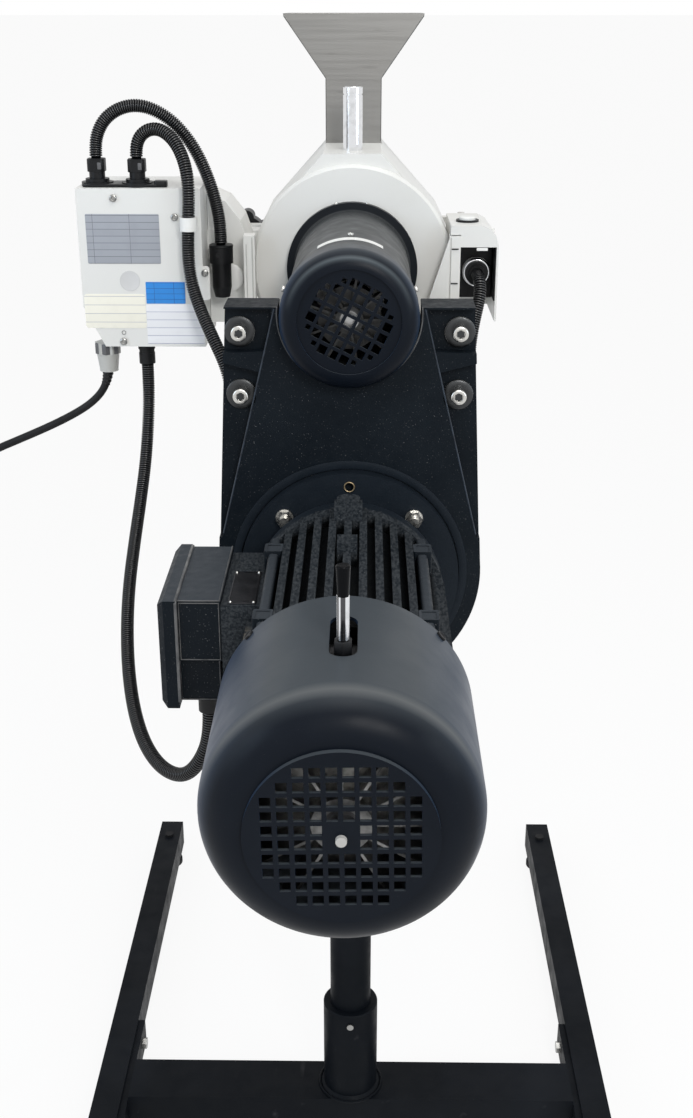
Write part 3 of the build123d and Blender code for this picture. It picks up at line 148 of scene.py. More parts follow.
def ramp(made, source, low, high, from_value=0.0, to_value=1.0):
    """Maps a pattern's low and high to two values, and stops there."""
    change = add_node(made, "ShaderNodeMapRange", From_Min=low, From_Max=high, To_Min=from_value, To_Max=to_value)
    join(made, source, change.inputs["Value"])
    return change.outputs["Result"]


def distance_from_axis(made, axis_z):
    """How far a point is from an axis along Y at a height."""
    around = add_node(made, "ShaderNodeVectorMath", operation="MULTIPLY_ADD")
    around.inputs[1].default_value = (1, 0, 1)
    around.inputs[2].default_value = (0, 0, -axis_z)
    reach = add_node(made, "ShaderNodeVectorMath", operation="LENGTH")
    join(made, object_place(made), around.inputs[0])
    join(made, around.outputs["Vector"], reach.inputs[0])
    return reach.outputs["Value"]


# %% [markdown]
# A finish is a plain shader with bumps, a drifting roughness and some stains, laid one over the other. The helper
# `coat` takes all of them as lists, so that a finish reads as a recipe.

# %% Recipe of a finish
def set_specular(made, level):
    principled(made).inputs["Specular IOR Level"].default_value = level


def paint_over(made, mask, color):
    """Lays a colour over what the shader has so far, as far as the mask says."""
    mix = add_node(made, "ShaderNodeMix", data_type="RGBA")
    base = principled(made).inputs["Base Color"]
    if base.is_linked:
        join(made, base.links[0].from_socket, mix.inputs["A"])
    else:
        mix.inputs["A"].default_value = base.default_value[:]
    mix.inputs["B"].default_value = (*color, 1)
    join(made, mask, mix.inputs["Factor"])
    join(made, mix.outputs["Result"], base)


def stain(made, scale, detail, low, high, share, color, stretch=(1, 1, 1)):
    """Paints a colour where a noise lies above a level."""
    paint_over(made, ramp(made, noise(made, scale, detail, stretch), low, high, 0, share), color)


def vary_roughness(made, scale, detail, low, high, stretch=(1, 1, 1)):
    drift = ramp(made, noise(made, scale, detail, stretch), 0.3, 0.7, low, high)
    join(made, drift, principled(made).inputs["Roughness"])


def raise_bumps(made, scale, detail, strength, distance, stretch=(1, 1, 1)):
    """Bumps on top of those that the shader already has."""
    normal = principled(made).inputs["Normal"]
    bump = add_node(made, "ShaderNodeBump", Strength=strength, Distance=distance)
    join(made, noise(made, scale, detail, stretch), bump.inputs["Height"])
    if normal.is_linked:
        join(made, normal.links[0].from_socket, bump.inputs["Normal"])
    join(made, bump.outputs["Normal"], normal)


def coat(name, color, roughness, bumps, drift, stains, specular=None, metallic=0.0):
    """A material. Each bump: scale, detail, strength, distance. The drift: scale, detail, lowest and highest
    roughness. Each stain: scale, detail, where it starts and is full, share, colour. A stretch may follow."""
    made = bpy.data.materials.new(name)
    made.use_nodes = True
    shader = principled(made)
    shader.inputs["Base Color"].default_value = (*color, 1)
    shader.inputs["Roughness"].default_value = roughness
    shader.inputs["Metallic"].default_value = metallic
    if specular is not None:
        set_specular(made, specular)
    for values in bumps:
        raise_bumps(made, *values)
    if drift:
        vary_roughness(made, *drift)
    for values in stains:
        stain(made, *values)
    return made


# %% [markdown]
# ## Black finishes
#
# Many blacks show in the photograph. The cowls are smooth satin enamel with a pale layer on top that is partly dust
# and partly painted sheen, a painted bluish reflection at their sides and a painted highlight on the bend before the
# rear face. The belt casting, flange and motor's fins are painted castings, rougher and dusty, with painted shade
# that turns them black down between the fins. The barrel is worn to a dark grey. The stand is coarser powder coat
# with scuffs. Glands, plugs and hoses are plastic, and the grip is glossy.

# %% Paint by direction
def paint_facing(made, color, axis, low, high, share, turn=(-0.75, -0.20)):
    """Paints where the surface faces along an axis, and not where it looks out to the rear."""
    faces = split(made, add_node(made, "ShaderNodeNewGeometry").outputs["Normal"])
    along = ramp(made, faces[axis], low, high, 0, share)
    paint_over(made, combined(made, "MULTIPLY", along, ramp(made, faces["Y"], *turn)), color)


def paint_bend_highlight(made, color, middle, half, share):
    """Paints a highlight on the upper part of a bend, where it looks out to the rear by a certain amount."""
    faces = split(made, add_node(made, "ShaderNodeNewGeometry").outputs["Normal"])
    rise = ramp(made, faces["Y"], middle - half, middle)
    fall = ramp(made, faces["Y"], middle, middle + half, 1, 0)
    upper = ramp(made, faces["Z"], 0.1, 0.6, 0, share)
    paint_over(made, combined(made, "MULTIPLY", combined(made, "MULTIPLY", rise, fall), upper), color)


# %% Enamels
MOTOR_Z = 0.804
SPINDLE_Z = 1.0435
# Painted reflections: the blue tones painted on the cowls' sides.
LEFT_PAINTED_SHEEN = (0.021, 0.040, 0.078)
RIGHT_PAINTED_SHEEN = (0.021, 0.037, 0.066)
SCREW_HEAD_REACH = 0.0038
GROOVE_REACH, FIN_REACH = 0.0765, 0.0800
BARREL_REACH, BARREL_FLANGE_REACH = 0.0585, 0.0592


def satin_enamel(name, turn, dust_and_sheen):
    """Cowl enamel: a grey layer on top that is partly dust and partly painted sheen, and a painted blue reflection at
    the sides, both gone where it turns to the rear.
    """
    made = coat(name, (0.0040, 0.0060, 0.0100), 0.34, [(420, 2, 0.06, 0.0006), (24, 2, 0.05, 0.004)],
                (35, 4, 0.31, 0.43), [(9, 5, 0.45, 0.8, 0.5, (0.009, 0.012, 0.018)),
                (1500, 2, 0.74, 0.80, 0.35, (0.16, 0.16, 0.17))], 0.09)
    # A layer on upward faces, partly dust and partly painted sheen, then painted blue reflections at the sides.
    paint_facing(made, dust_and_sheen, "Z", 0.05, 0.8, 0.9, turn)
    paint_facing(made, LEFT_PAINTED_SHEEN, "X", -0.50, -0.95, 0.85, turn)
    paint_facing(made, RIGHT_PAINTED_SHEEN, "X", 0.50, 0.95, 0.85, turn)
    return made


def cast_enamel(name, dust):
    return coat(name, (0.0030, 0.0056, 0.0088), 0.5, [(700, 4, 0.22, 0.0008), (60, 3, 0.10, 0.004)],
                (120, 4, 0.42, 0.62), [(14, 6, 0.42, 0.75, 0.6, (0.0085, 0.0125, 0.017)),
                (900, 3, 0.67, 0.75, dust, (0.24, 0.24, 0.24))], 0.11)


def painted_highlight_enamel(name, color):
    """Enamel painted lighter on a ridge or lip, as a painted highlight."""
    return coat(name, color, 0.34, [(800, 3, 0.15, 0.0004)], (200, 3, 0.28, 0.45),
                [(90, 5, 0.4, 0.7, 0.8, (0.010, 0.012, 0.016))], 0.3)


def fin_enamel():
    """Cast enamel with painted shade that makes it black between the fins, pale with dust on their tips and by the
    terminal box.
    """
    made = cast_enamel("fin_enamel", 0.9)
    tips = ramp(made, noise(made, 500, 6, (1, 0.4, 1)), 0.38, 0.68, 0.1, 0.75)
    paint_over(made, tips, (0.058, 0.064, 0.070))
    place = split(made, object_place(made))
    corner = combined(made, "MULTIPLY", ramp(made, place["X"], -0.080, -0.074, 1, 0),
                      ramp(made, place["Y"], -0.338, -0.326, 1, 0))
    patches = ramp(made, noise(made, 90, 6), 0.40, 0.58, 0, 0.85)
    paint_over(made, combined(made, "MULTIPLY", corner, patches), (0.22, 0.20, 0.17))
    # Painted shade: black towards the stator, down between the fins.
    depth = ramp(made, distance_from_axis(made, MOTOR_Z), GROOVE_REACH, FIN_REACH, 0.94, 0)
    paint_over(made, depth, (0.0015, 0.0020, 0.0026))
    return made


# Motor cowl: dust and painted sheen on top, painted reflections at the sides, a painted highlight on the bend.
ENAMEL = satin_enamel("motor_cowl_enamel", (-0.75, -0.20), (0.054, 0.063, 0.072))
paint_bend_highlight(ENAMEL, (0.115, 0.120, 0.122), -0.28, 0.22, 0.75)
screw_head = ramp(ENAMEL, distance_from_axis(ENAMEL, MOTOR_Z), SCREW_HEAD_REACH - 0.0002, SCREW_HEAD_REACH, 1, 0)
paint_over(ENAMEL, screw_head, (0.42, 0.41, 0.39))
# Spindle cowl: dust and painted sheen on top, painted reflections at the sides, a painted highlight on the bend.
SPINDLE_ENAMEL = satin_enamel("spindle_cowl_enamel", (-0.80, -0.30), (0.040, 0.047, 0.056))
paint_bend_highlight(SPINDLE_ENAMEL, (0.085, 0.100, 0.110), -0.80, 0.14, 0.9)
CASTING = cast_enamel("cast_enamel", 0.45)
DUSTY_CASTING = cast_enamel("dusty_cast_enamel", 0.85)
# The terminal box's upward faces are painted lighter and bluer.
paint_facing(DUSTY_CASTING, (0.044, 0.051, 0.060), "Z", 0.5, 1.0, 0.8)
FIN_ENAMEL = fin_enamel()
FLANGE_ENAMEL = cast_enamel("flange_enamel", 0.5)
flange_dust = ramp(FLANGE_ENAMEL, noise(FLANGE_ENAMEL, 40, 4), 0.2, 0.8, 0.5, 0.95)
paint_over(FLANGE_ENAMEL, flange_dust, (0.0095, 0.0135, 0.0190))
BARREL_ENAMEL = coat("barrel_enamel", (0.036, 0.039, 0.041), 0.42, [(500, 3, 0.12, 0.0006)], (60, 4, 0.36, 0.52),
                     [(30, 5, 0.42, 0.75, 0.6, (0.066, 0.070, 0.072))], 0.2)
barrel_flange = ramp(BARREL_ENAMEL, distance_from_axis(BARREL_ENAMEL, SPINDLE_Z), BARREL_REACH, BARREL_FLANGE_REACH)
paint_over(BARREL_ENAMEL, barrel_flange, (0.005, 0.007, 0.010))
# Painted highlights: lighter enamels on the beads of ridges, lips and the cut-out's rim.
RIDGE_HIGHLIGHT_ENAMEL = painted_highlight_enamel("ridge_highlight_enamel", (0.030, 0.040, 0.055))
EDGE_HIGHLIGHT_ENAMEL = painted_highlight_enamel("painted_highlight_enamel", (0.11, 0.11, 0.11))
print("enamels", len(bpy.data.materials))

# %% Powder coat and black plastics
POWDER = coat("powder_coat", (0.0034, 0.0046, 0.0066), 0.46, [(900, 3, 0.25, 0.0006)], (40, 5, 0.38, 0.60),
              [(7, 6, 0.45, 0.72, 0.7, (0.010, 0.012, 0.016)),
               (60, 6, 0.66, 0.78, 0.25, (0.08, 0.08, 0.085), (1, 0.15, 1))], 0.07)


def black_plastic(name, roughness, specular=0.26):
    return coat(name, (0.0034, 0.0037, 0.0046), roughness, [(1400, 2, 0.12, 0.0004)],
                (90, 3, roughness - 0.06, roughness + 0.1), [(25, 5, 0.5, 0.8, 0.5, (0.009, 0.0095, 0.011))],
                specular)


PLASTIC = black_plastic("black_plastic", 0.42)
GLOSSY_PLASTIC = black_plastic("glossy_plastic", 0.16, 0.06)
HOSE_PLASTIC = black_plastic("hose_polyamide", 0.20, 0.6)
HOSE_GROOVE = black_plastic("hose_groove", 0.6, 0.02)
CORD_SHEATH = black_plastic("cord_sheath", 0.55)
RUBBER = black_plastic("rubber", 0.68)
print("black finishes", len(bpy.data.materials))

# %% [markdown]
# ## White and metal finishes
#
# The chamber, frame and box are a warm grey-white powder coat with faint smears. The hopper is stainless sheet,
# ground across, so its grain is a noise that is stretched along one axis. Nuts and small screws are bright zinc,
# the big screws and washers are duller, and the guide post is polished chrome. The lever's rod carries two dark
# bands, a painted reflection of the dark parts beside it. The fans are dirty cast aluminium with painted shade away
# from the hub, so that they stay bright only near it.

# %% White and metal finishes
CHROME_COLOR = (0.78, 0.79, 0.81)
BAND_EDGE = 0.0004
WHITE = coat("white_coat", (0.70, 0.70, 0.68), 0.42, [(800, 3, 0.10, 0.0005)], (20, 4, 0.36, 0.50),
             [(11, 6, 0.5, 0.8, 0.5, (0.60, 0.595, 0.56)), (240, 4, 0.70, 0.80, 0.25, (0.38, 0.37, 0.34))])
SHEET = coat("brushed_sheet", (0.25, 0.247, 0.238), 0.36, [(260, 3, 0.08, 0.0004, (0.12, 4, 4))],
             (90, 4, 0.30, 0.46, (0.1, 3, 3)),
             [(16, 5, 0.40, 0.75, 0.6, (0.24, 0.235, 0.225)),
              (60, 6, 0.62, 0.72, 0.35, (0.15, 0.147, 0.14), (0.4, 1, 2))], metallic=1.0)


def bright_metal(name, color, roughness):
    return coat(name, color, roughness, [(500, 3, 0.06, 0.0004)], (180, 4, roughness, roughness + 0.14),
                [(120, 5, 0.5, 0.8, 0.5, tuple(c * 0.6 for c in color))], metallic=1.0)


def fan_metal(name, axis_z, bright_reach):
    made = bright_metal(name, (0.55, 0.55, 0.54), 0.40)
    # Painted shade: dark away from the hub, so the fan stays bright only near it.
    fan_painted_shade = ramp(made, distance_from_axis(made, axis_z), 0.6 * bright_reach, bright_reach, 0, 0.93)
    paint_over(made, fan_painted_shade, (0.035, 0.036, 0.037))
    stain(made, 70, 6, 0.42, 0.62, 0.7, (0.05, 0.05, 0.05))
    return made


LEVER_CHROME = bright_metal("lever_chrome", CHROME_COLOR, 0.08)
rod_x = split(LEVER_CHROME, object_place(LEVER_CHROME))["X"]
# Painted reflection: two dark bands across the rod.
for start, end, dark in ((-0.0040, -0.0030, 0.05), (-0.0018, 0.0014, 0.09)):
    painted_reflection_band = combined(LEVER_CHROME, "MULTIPLY", ramp(LEVER_CHROME, rod_x, start, start + BAND_EDGE),
                    ramp(LEVER_CHROME, rod_x, end, end + BAND_EDGE, 1, 0))
    paint_over(LEVER_CHROME, painted_reflection_band, (dark, dark, dark * 1.05))
SPINDLE_FAN_FINISH = fan_metal("spindle_fan_metal", SPINDLE_Z, 0.009)
MOTOR_FAN_FINISH = fan_metal("motor_fan_metal", MOTOR_Z, 0.052)
CHROME = bright_metal("chrome_plate", CHROME_COLOR, 0.07)
ZINC = bright_metal("bright_zinc", (0.62, 0.61, 0.58), 0.22)
STEEL = bright_metal("turned_steel", (0.50, 0.50, 0.50), 0.28)
CAST_ALUMINIUM = bright_metal("cast_aluminium", (0.55, 0.55, 0.55), 0.42)
IRON = bright_metal("bare_iron", (0.20, 0.20, 0.21), 0.45)
WASHER_STEEL = bright_metal("washer_steel", (0.060, 0.062, 0.064), 0.32)
BOLT_STEEL = bright_metal("bolt_steel", (0.34, 0.34, 0.33), 0.22)
DARK_SHEET = bright_metal("dark_sheet", (0.12, 0.12, 0.115), 0.4)
DULL_BRASS = bright_metal("dull_brass", (0.30, 0.23, 0.14), 0.36)
BLACK_FOIL = bright_metal("black_foil", (0.05, 0.05, 0.055), 0.35)
WINDING = bright_metal("winding_copper", (0.50, 0.22, 0.09), 0.35)
print("finishes so far", len(bpy.data.materials))

# %% [markdown]
# ## Coloured plastic
#
# The cable gland is grey, the hose clip and the hood's button are white, and the two push buttons are green and
# red. These are small, so a little colour drift and a soft bump are enough.

# %% Coloured plastic
def tinted_plastic(name, color, roughness):
    return coat(name, color, roughness, [(900, 2, 0.08, 0.0004)], (60, 3, roughness - 0.05, roughness + 0.08),
                [(45, 4, 0.45, 0.8, 0.5, tuple(c * 0.8 for c in color))])


GREY_PLASTIC = tinted_plastic("grey_plastic", (0.46, 0.46, 0.44), 0.38)
DARK_GREY_PLASTIC = tinted_plastic("dark_grey_plastic", (0.10, 0.10, 0.105), 0.34)
GREEN_PLASTIC = tinted_plastic("green_plastic", (0.02, 0.30, 0.09), 0.28)
RED_PLASTIC = tinted_plastic("red_plastic", (0.60, 0.03, 0.03), 0.28)
WHITE_PLASTIC = tinted_plastic("white_plastic", (0.78, 0.78, 0.76), 0.35)
print("finishes", len(bpy.data.materials))

# %% [markdown]
# ## Dressing the CAD nodes
#
# Most solids have the right shape already, so they keep it and only get a finish. Each node's material slots are
# emptied and the new finish goes in.

# %% Dressing the CAD nodes
NODE_FINISH = {
    ENAMEL: ["motor_cowl"],
    SPINDLE_ENAMEL: ["spindle_cowl"],
    CASTING: ["belt_casting", "belt_cover"],
    FLANGE_ENAMEL: ["motor_flange"],
    BARREL_ENAMEL: ["spindle_barrel"],
    FIN_ENAMEL: ["motor_frame"],
    DUSTY_CASTING: ["terminal_box", "terminal_box_lid"],
    POWDER: ["stand_legs", "crossbar", "post_sleeve", "post", "post_saddle"],
    PLASTIC: ["hose_fittings", "button_bezels", "door_knob", "mains_plug"],
    GLOSSY_PLASTIC: ["brake_lever_grip"],
    HOSE_PLASTIC: ["lock_hose", "hood_hose", "motor_hose"],
    CORD_SHEATH: ["mains_cord", "mains_coil"],
    WHITE: ["mill_frame", "chamber_back_plate", "chamber_body", "lock_shroud", "safety_hood", "door",
            "control_box", "control_box_panel"],
    SHEET: ["hopper", "collector_vessel"],
    ZINC: ["flange_nuts", "door_hinge"],
    BOLT_STEEL: ["stand_bolts", "casting_bolts"],
    CHROME: ["guide_post"],
    LEVER_CHROME: ["brake_lever"],
    STEEL: ["ring_sieve", "bearings", "spindle_shaft", "beater_rotor"],
    CAST_ALUMINIUM: ["spindle_pulley", "motor_pulley"],
    SPINDLE_FAN_FINISH: ["spindle_fan"],
    MOTOR_FAN_FINISH: ["motor_fan"],
    IRON: ["motor_rotor", "brake_magnet", "brake_disc"],
    WINDING: ["motor_stator"],
    RUBBER: ["stand_feet", "door_seal", "drive_belt"],
    GREY_PLASTIC: ["mains_gland"],
    GREEN_PLASTIC: ["start_button"],
    RED_PLASTIC: ["stop_button"],
    WHITE_PLASTIC: ["hose_clip", "hood_button"],
}

for finish, nodes in NODE_FINISH.items():
    for name in nodes:
        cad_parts[name].data.materials.clear()
        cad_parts[name].data.materials.append(finish)
dressed = {name for nodes in NODE_FINISH.values() for name in nodes}
print("not dressed", sorted(set(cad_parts) - dressed))

# %% [markdown]
# ## The mains cord
#
# A black lead leaves the grey gland under the control box, sags out of the picture to the left and drops to the
# floor. The rest of it is put away there as a neat coil with the plug beside it. The cord is one NURBS spline: the
# listed points of its route are its control points, and the coil's turns follow from a loop. Routes are
# written in millimetres, which are shorter to read, and turned into metres at once.

# %% Route of the mains cord
def metres(route):
    """The points of a route that is written in millimetres."""
    return [tuple(round(value / 1000, 6) for value in point) for point in route]


CORD_DIAMETER = 0.008
MAINS_ROUTE = metres([
    (-250.5, 62, 957), (-251, 62, 939), (-257, 62, 921), (-270.5, 62, 906.5), (-290, 62, 894), (-316, 62, 881),
    (-348, 62, 867), (-384, 61, 852), (-413, 60, 829), (-433, 58, 797), (-446, 57, 752), (-454, 57, 690),
    (-459, 58, 610), (-462, 60, 515), (-463, 63, 410), (-465, 67, 305), (-467, 72, 205), (-470, 73, 118),
    (-472, 60, 58), (-472, 24, 16), (-472, -12, 4), (-472, -34, 4), (-472, -42, 4)])
COIL_CENTRE = (-0.524, -0.042)
COIL_RADIUS = 0.052
COIL_PITCH = 0.0088
COIL_TURNS = 4
COIL_LIFT = 0.0086
COIL_STEPS = 16
PLUG_REACH = 0.020


def coil_turns():
    """Points of the coil: two layers that spiral in and out again, from the cord's last point to the plug."""
    points = []
    for i in range(1, COIL_TURNS * COIL_STEPS + 1):
        turn = i / COIL_STEPS
        inward = min(turn, COIL_TURNS - turn)
        radius = (COIL_RADIUS - COIL_PITCH * inward) / math.cos(math.pi / COIL_STEPS) ** 0.5
        rise = min(1.0, max(0.0, (turn - COIL_TURNS / 2 + 0.25) / 0.5))
        height = CORD_DIAMETER / 2 + COIL_LIFT * rise * rise * (3 - 2 * rise)
        angle = -2 * math.pi * turn
        points.append((COIL_CENTRE[0] + radius * math.cos(angle), COIL_CENTRE[1] + radius * math.sin(angle), height))
    return points


def thick_curve(name, kind, points, radius, roundness):
    """A curve on points, as thick as the radius says."""
    data = bpy.data.curves.new(name, "CURVE")
    data.dimensions = "3D"
    line = data.splines.new(kind)
    line.points.add(len(points) - 1)
    for spot, place in zip(line.points, points):
        spot.co = (*place, 1)
    data.bevel_depth = radius
    data.bevel_resolution = roundness
    data.use_fill_caps = True
    made = bpy.data.objects.new(name, data)
    bpy.context.scene.collection.objects.link(made)
    return made


def nurbs_curve(name, points, radius):
    """A smooth open curve with the points as its control points."""
    made = thick_curve(name, "NURBS", points, radius, 5)
    made.data.resolution_u = 6
    made.data.splines[0].order_u = 3
    made.data.splines[0].use_endpoint_u = True
    return made


def line_points(name, points):
    """Points along a route's smooth line, read from a curve with no thickness, and the line's length."""
    guide = nurbs_curve(name, points, 0)
    guide.data.use_fill_caps = False
    guide.data.resolution_u = 24
    bpy.context.view_layer.update()
    mesh = bpy.data.meshes.new_from_object(guide.evaluated_get(bpy.context.evaluated_depsgraph_get()))
    found = [vertex.co.copy() for vertex in mesh.vertices]
    bpy.data.meshes.remove(mesh)
    bpy.data.objects.remove(guide)
    return found, sum((b - a).length for a, b in zip(found, found[1:]))


# %% Mains cord
coil_end = (COIL_CENTRE[0] + COIL_RADIUS, COIL_CENTRE[1], CORD_DIAMETER / 2 + COIL_LIFT)
cord_points = MAINS_ROUTE + coil_turns() + [(coil_end[0], coil_end[1] - PLUG_REACH, coil_end[2])]
mains_line, mains_length = line_points("mains_guide", cord_points)
mains_cord = nurbs_curve("mains_lead", cord_points, CORD_DIAMETER / 2)
mains_cord.data.materials.append(CORD_SHEATH)
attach(mains_cord, "machine")
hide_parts("mains_cord", "mains_coil")
print("mains cord", round(mains_length, 3))

# %% [markdown]
# ## The corrugated hoses
#
# Three ribbed polyamide hoses carry the wiring: one arches from the control box to the door lock, one runs down
# behind the belt casting and up under the safety hood, and one sags to the motor's terminal box. Each is a tube
# whose rings step in and out along the smooth line of its route, with a plain end that sits in its gland. The
# grooves between the ribs are a duller black.

# %% Routes of the hoses
LOCK_ROUTE = metres([
    (-249.8, 64, 1152), (-249.8, 64, 1164), (-246.2, 64, 1177.4), (-238, 64, 1189.5), (-224.7, 64, 1198.1),
    (-209, 64, 1201.3), (-192.8, 64, 1198.1), (-175.4, 65, 1187.7), (-162.9, 66, 1174.3), (-152.5, 67, 1158.7),
    (-144.3, 68, 1140.3), (-137.9, 69, 1121.1), (-133.3, 69.5, 1101.8), (-131.4, 70, 1084), (-131.4, 70, 1068)])
HOOD_ROUTE = metres([
    (-209.7, 60, 1152), (-209.7, 60, 1162), (-205.3, 58, 1172.6), (-196.8, 55, 1179), (-187, 52, 1180.3),
    (-177.9, 48, 1176.7), (-169.4, 43, 1169.1), (-163, 38, 1158.4), (-158.6, 32.9, 1146),
    (-156.4, 28.8, 1130.8), (-156.7, 26.4, 1112), (-158, 26, 1090), (-159, 26, 1070), (-158.6, 25.2, 1052),
    (-155.2, 21.5, 1034), (-149, 15, 1017), (-141.4, 7, 1001), (-133, -1.5, 985.2), (-124.5, -9, 969),
    (-118.5, -15, 951), (-116, -20, 931), (-112, -26, 910), (-97, -35, 895), (-70, -46, 887.5),
    (-35, -53, 885.5), (3, -56, 886.5), (41, -50, 889), (76, -35, 894.5), (102, -14, 900), (113, -2, 911),
    (116.2, 10, 930), (116.4, 16, 950), (117.5, 24, 970), (119.5, 31, 986), (122.5, 38, 1000), (126, 44, 1014),
    (128.3, 50, 1026), (127.6, 59, 1036.5), (126.5, 78, 1038)])
MOTOR_ROUTE = metres([
    (-210.5, 62, 949), (-210.5, 62, 923), (-211.5, 53, 890), (-213.5, 34, 852), (-216.5, 7, 819),
    (-218.5, -30, 789), (-219, -75, 758.5), (-215.5, -120, 730.5), (-208, -165, 705), (-197, -205, 684),
    (-182, -241, 671), (-163, -269, 665), (-142, -289, 670), (-126, -298.5, 690), (-115.5, -300, 718),
    (-115.5, -300, 743)])
HOSE_RADIUS = 0.0063
HOSE_SHOULDER = 0.0061
HOSE_VALLEY = 0.0047
HOSE_PLAIN_END = 0.0015
HOSE_SIDES = 20
RIB_PROFILE = ((0.06, HOSE_VALLEY), (0.22, HOSE_SHOULDER), (0.38, HOSE_RADIUS), (0.62, HOSE_RADIUS),
               (0.78, HOSE_SHOULDER), (0.94, HOSE_VALLEY))


def along_line(line, distance):
    """The point at a distance along a line of points, and the line's direction there."""
    for a, b in zip(line, line[1:]):
        step = (b - a).length
        if distance <= step:
            return a.lerp(b, distance / step), (b - a).normalized()
        distance -= step
    return line[-1].copy(), (line[-1] - line[-2]).normalized()


def ring_at(centre, side, across, radius, sides):
    """The points of a ring round a centre, in the plane of two directions."""
    angles = [2 * math.pi * k / sides for k in range(sides)]
    return [centre + (side * math.cos(angle) + across * math.sin(angle)) * radius for angle in angles]


def tube_of_rings(name, vertices, sides):
    """An object whose rings of vertices are joined by quads and closed at both ends."""
    faces = []
    for r in range(len(vertices) // sides - 1):
        for k in range(sides):
            a = r * sides + k
            b = r * sides + (k + 1) % sides
            faces.append((a, b, b + sides, a + sides))
    faces.append(tuple(reversed(range(sides))))
    faces.append(tuple(range(len(vertices) - sides, len(vertices))))
    mesh = bpy.data.meshes.new(name)
    mesh.from_pydata(vertices, [], faces)
    made = bpy.data.objects.new(name, mesh)
    bpy.context.scene.collection.objects.link(made)
    return made


def ribbed_tube(name, line, length, pitch):
    """A tube of rings that follow the line, stepping between valley and crest once per rib."""
    ribs = round((length - 2 * HOSE_PLAIN_END) / pitch)
    step = (length - 2 * HOSE_PLAIN_END) / ribs
    stations = [(HOSE_PLAIN_END + (i + share) * step, radius) for i in range(ribs) for share, radius in RIB_PROFILE]
    stations = [(0.0, HOSE_VALLEY), *stations, (length - 1e-6, HOSE_VALLEY)]
    vertices = []
    side = None
    for distance, radius in stations:
        centre, ahead = along_line(line, distance)
        side = ahead.orthogonal() if side is None else side - ahead * side.dot(ahead)
        side.normalize()
        vertices += ring_at(centre, side, ahead.cross(side), radius, HOSE_SIDES)
    made = tube_of_rings(name, vertices, HOSE_SIDES)
    made.data.polygons.foreach_set("use_smooth", [True] * len(made.data.polygons))
    made.data.materials.append(HOSE_PLASTIC)
    made.data.materials.append(HOSE_GROOVE)
    for face in made.data.polygons:
        ring = face.index // HOSE_SIDES
        if ring + 1 < len(stations) and min(stations[ring][1], stations[ring + 1][1]) < HOSE_SHOULDER - 0.0002:
            face.material_index = 1
    return made, ribs


# %% Corrugated hoses
for node, route, pitch in (("lock_hose", LOCK_ROUTE, 0.0022), ("hood_hose", HOOD_ROUTE, 0.0024),
                           ("motor_hose", MOTOR_ROUTE, 0.0024)):
    line, length = line_points(node + "_guide", route)
    hose, ribs = ribbed_tube(node + "_ribs", line, length, pitch)
    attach(hose, "machine")
    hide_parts(node)
    print(node, "length", round(length, 3), "ribs", ribs)

# %% [markdown]
# ## Modelling the small pieces
#
# Labels, screws and trim are modelled as by hand: a primitive at its size and place, shaped in edit mode, with soft
# edges from a Bevel modifier that is applied at once. The helpers below start a primitive with nothing else
# selected, pick faces or edges by a test on their place, and hand the finished piece to its body.

# %% Starting, picking and softening
def select_only(piece):
    bpy.ops.object.select_all(action="DESELECT")
    piece.select_set(True)
    bpy.context.view_layer.objects.active = piece


def start_from(kind, **values):
    """Adds a primitive with nothing else selected, and puts its place into its mesh."""
    bpy.ops.object.select_all(action="DESELECT")
    getattr(bpy.ops.mesh, "primitive_" + kind + "_add")(**values)
    bpy.ops.object.transform_apply(location=True, rotation=True, scale=True)
    return bpy.context.object


def rear_disc(place, radius, depth, sides=64):
    """A disc with its axis along Y and its middle at a place."""
    return start_from("cylinder", vertices=sides, radius=radius, depth=depth, location=place,
                      rotation=(math.radians(90), 0, 0))


def upright(place, radius, depth, sides):
    """A cylinder with its axis along Z and its middle at a place."""
    return start_from("cylinder", vertices=sides, radius=radius, depth=depth, location=place)


def hoop(place, reach, thickness, around, across, tilt=0):
    """A torus round the Z axis, or round the Y axis where it is tilted by 90 degrees."""
    return start_from("torus", major_radius=reach, minor_radius=thickness, major_segments=around,
                      minor_segments=across, location=place, rotation=(math.radians(tilt), 0, 0))


def pick(piece, part, test):
    """Opens the piece in edit mode with only the faces or edges selected that pass the test."""
    bpy.ops.object.mode_set(mode="EDIT")
    bpy.ops.mesh.select_mode(type=part)
    bpy.ops.mesh.select_all(action="DESELECT")
    shape = bmesh.from_edit_mesh(piece.data)
    for item in (shape.faces if part == "FACE" else shape.edges):
        if test(item):
            item.select_set(True)
    bmesh.update_edit_mesh(piece.data)


def done_editing():
    bpy.ops.object.mode_set(mode="OBJECT")


def soften(piece, width, segments=2):
    """Rounds the sharp edges by a Bevel modifier that is applied at once."""
    change = piece.modifiers.new("soft_edges", "BEVEL")
    change.width = width
    change.segments = segments
    change.limit_method = "ANGLE"
    change.angle_limit = math.radians(30)
    bpy.ops.object.modifier_apply(modifier=change.name)


# %% Working a face
REAR = (1, -1)
UP = (2, 1)
DOWN = (2, -1)
LEFT = (0, -1)


def work_face(piece, side, *steps):
    """Insets, moves or extrudes the faces on one side, a step after the other; moves are along the side's axis."""
    axis, sign = side
    pick(piece, "FACE", lambda face: face.normal[axis] * sign > 0.9)
    for kind, amount in steps:
        shift = tuple(amount if i == axis else 0 for i in range(3))
        if kind == "inset":
            bpy.ops.mesh.inset(thickness=amount)
        elif kind == "move":
            bpy.ops.transform.translate(value=shift)
        else:
            bpy.ops.mesh.extrude_region_move(TRANSFORM_OT_translate={"value": shift})
    done_editing()


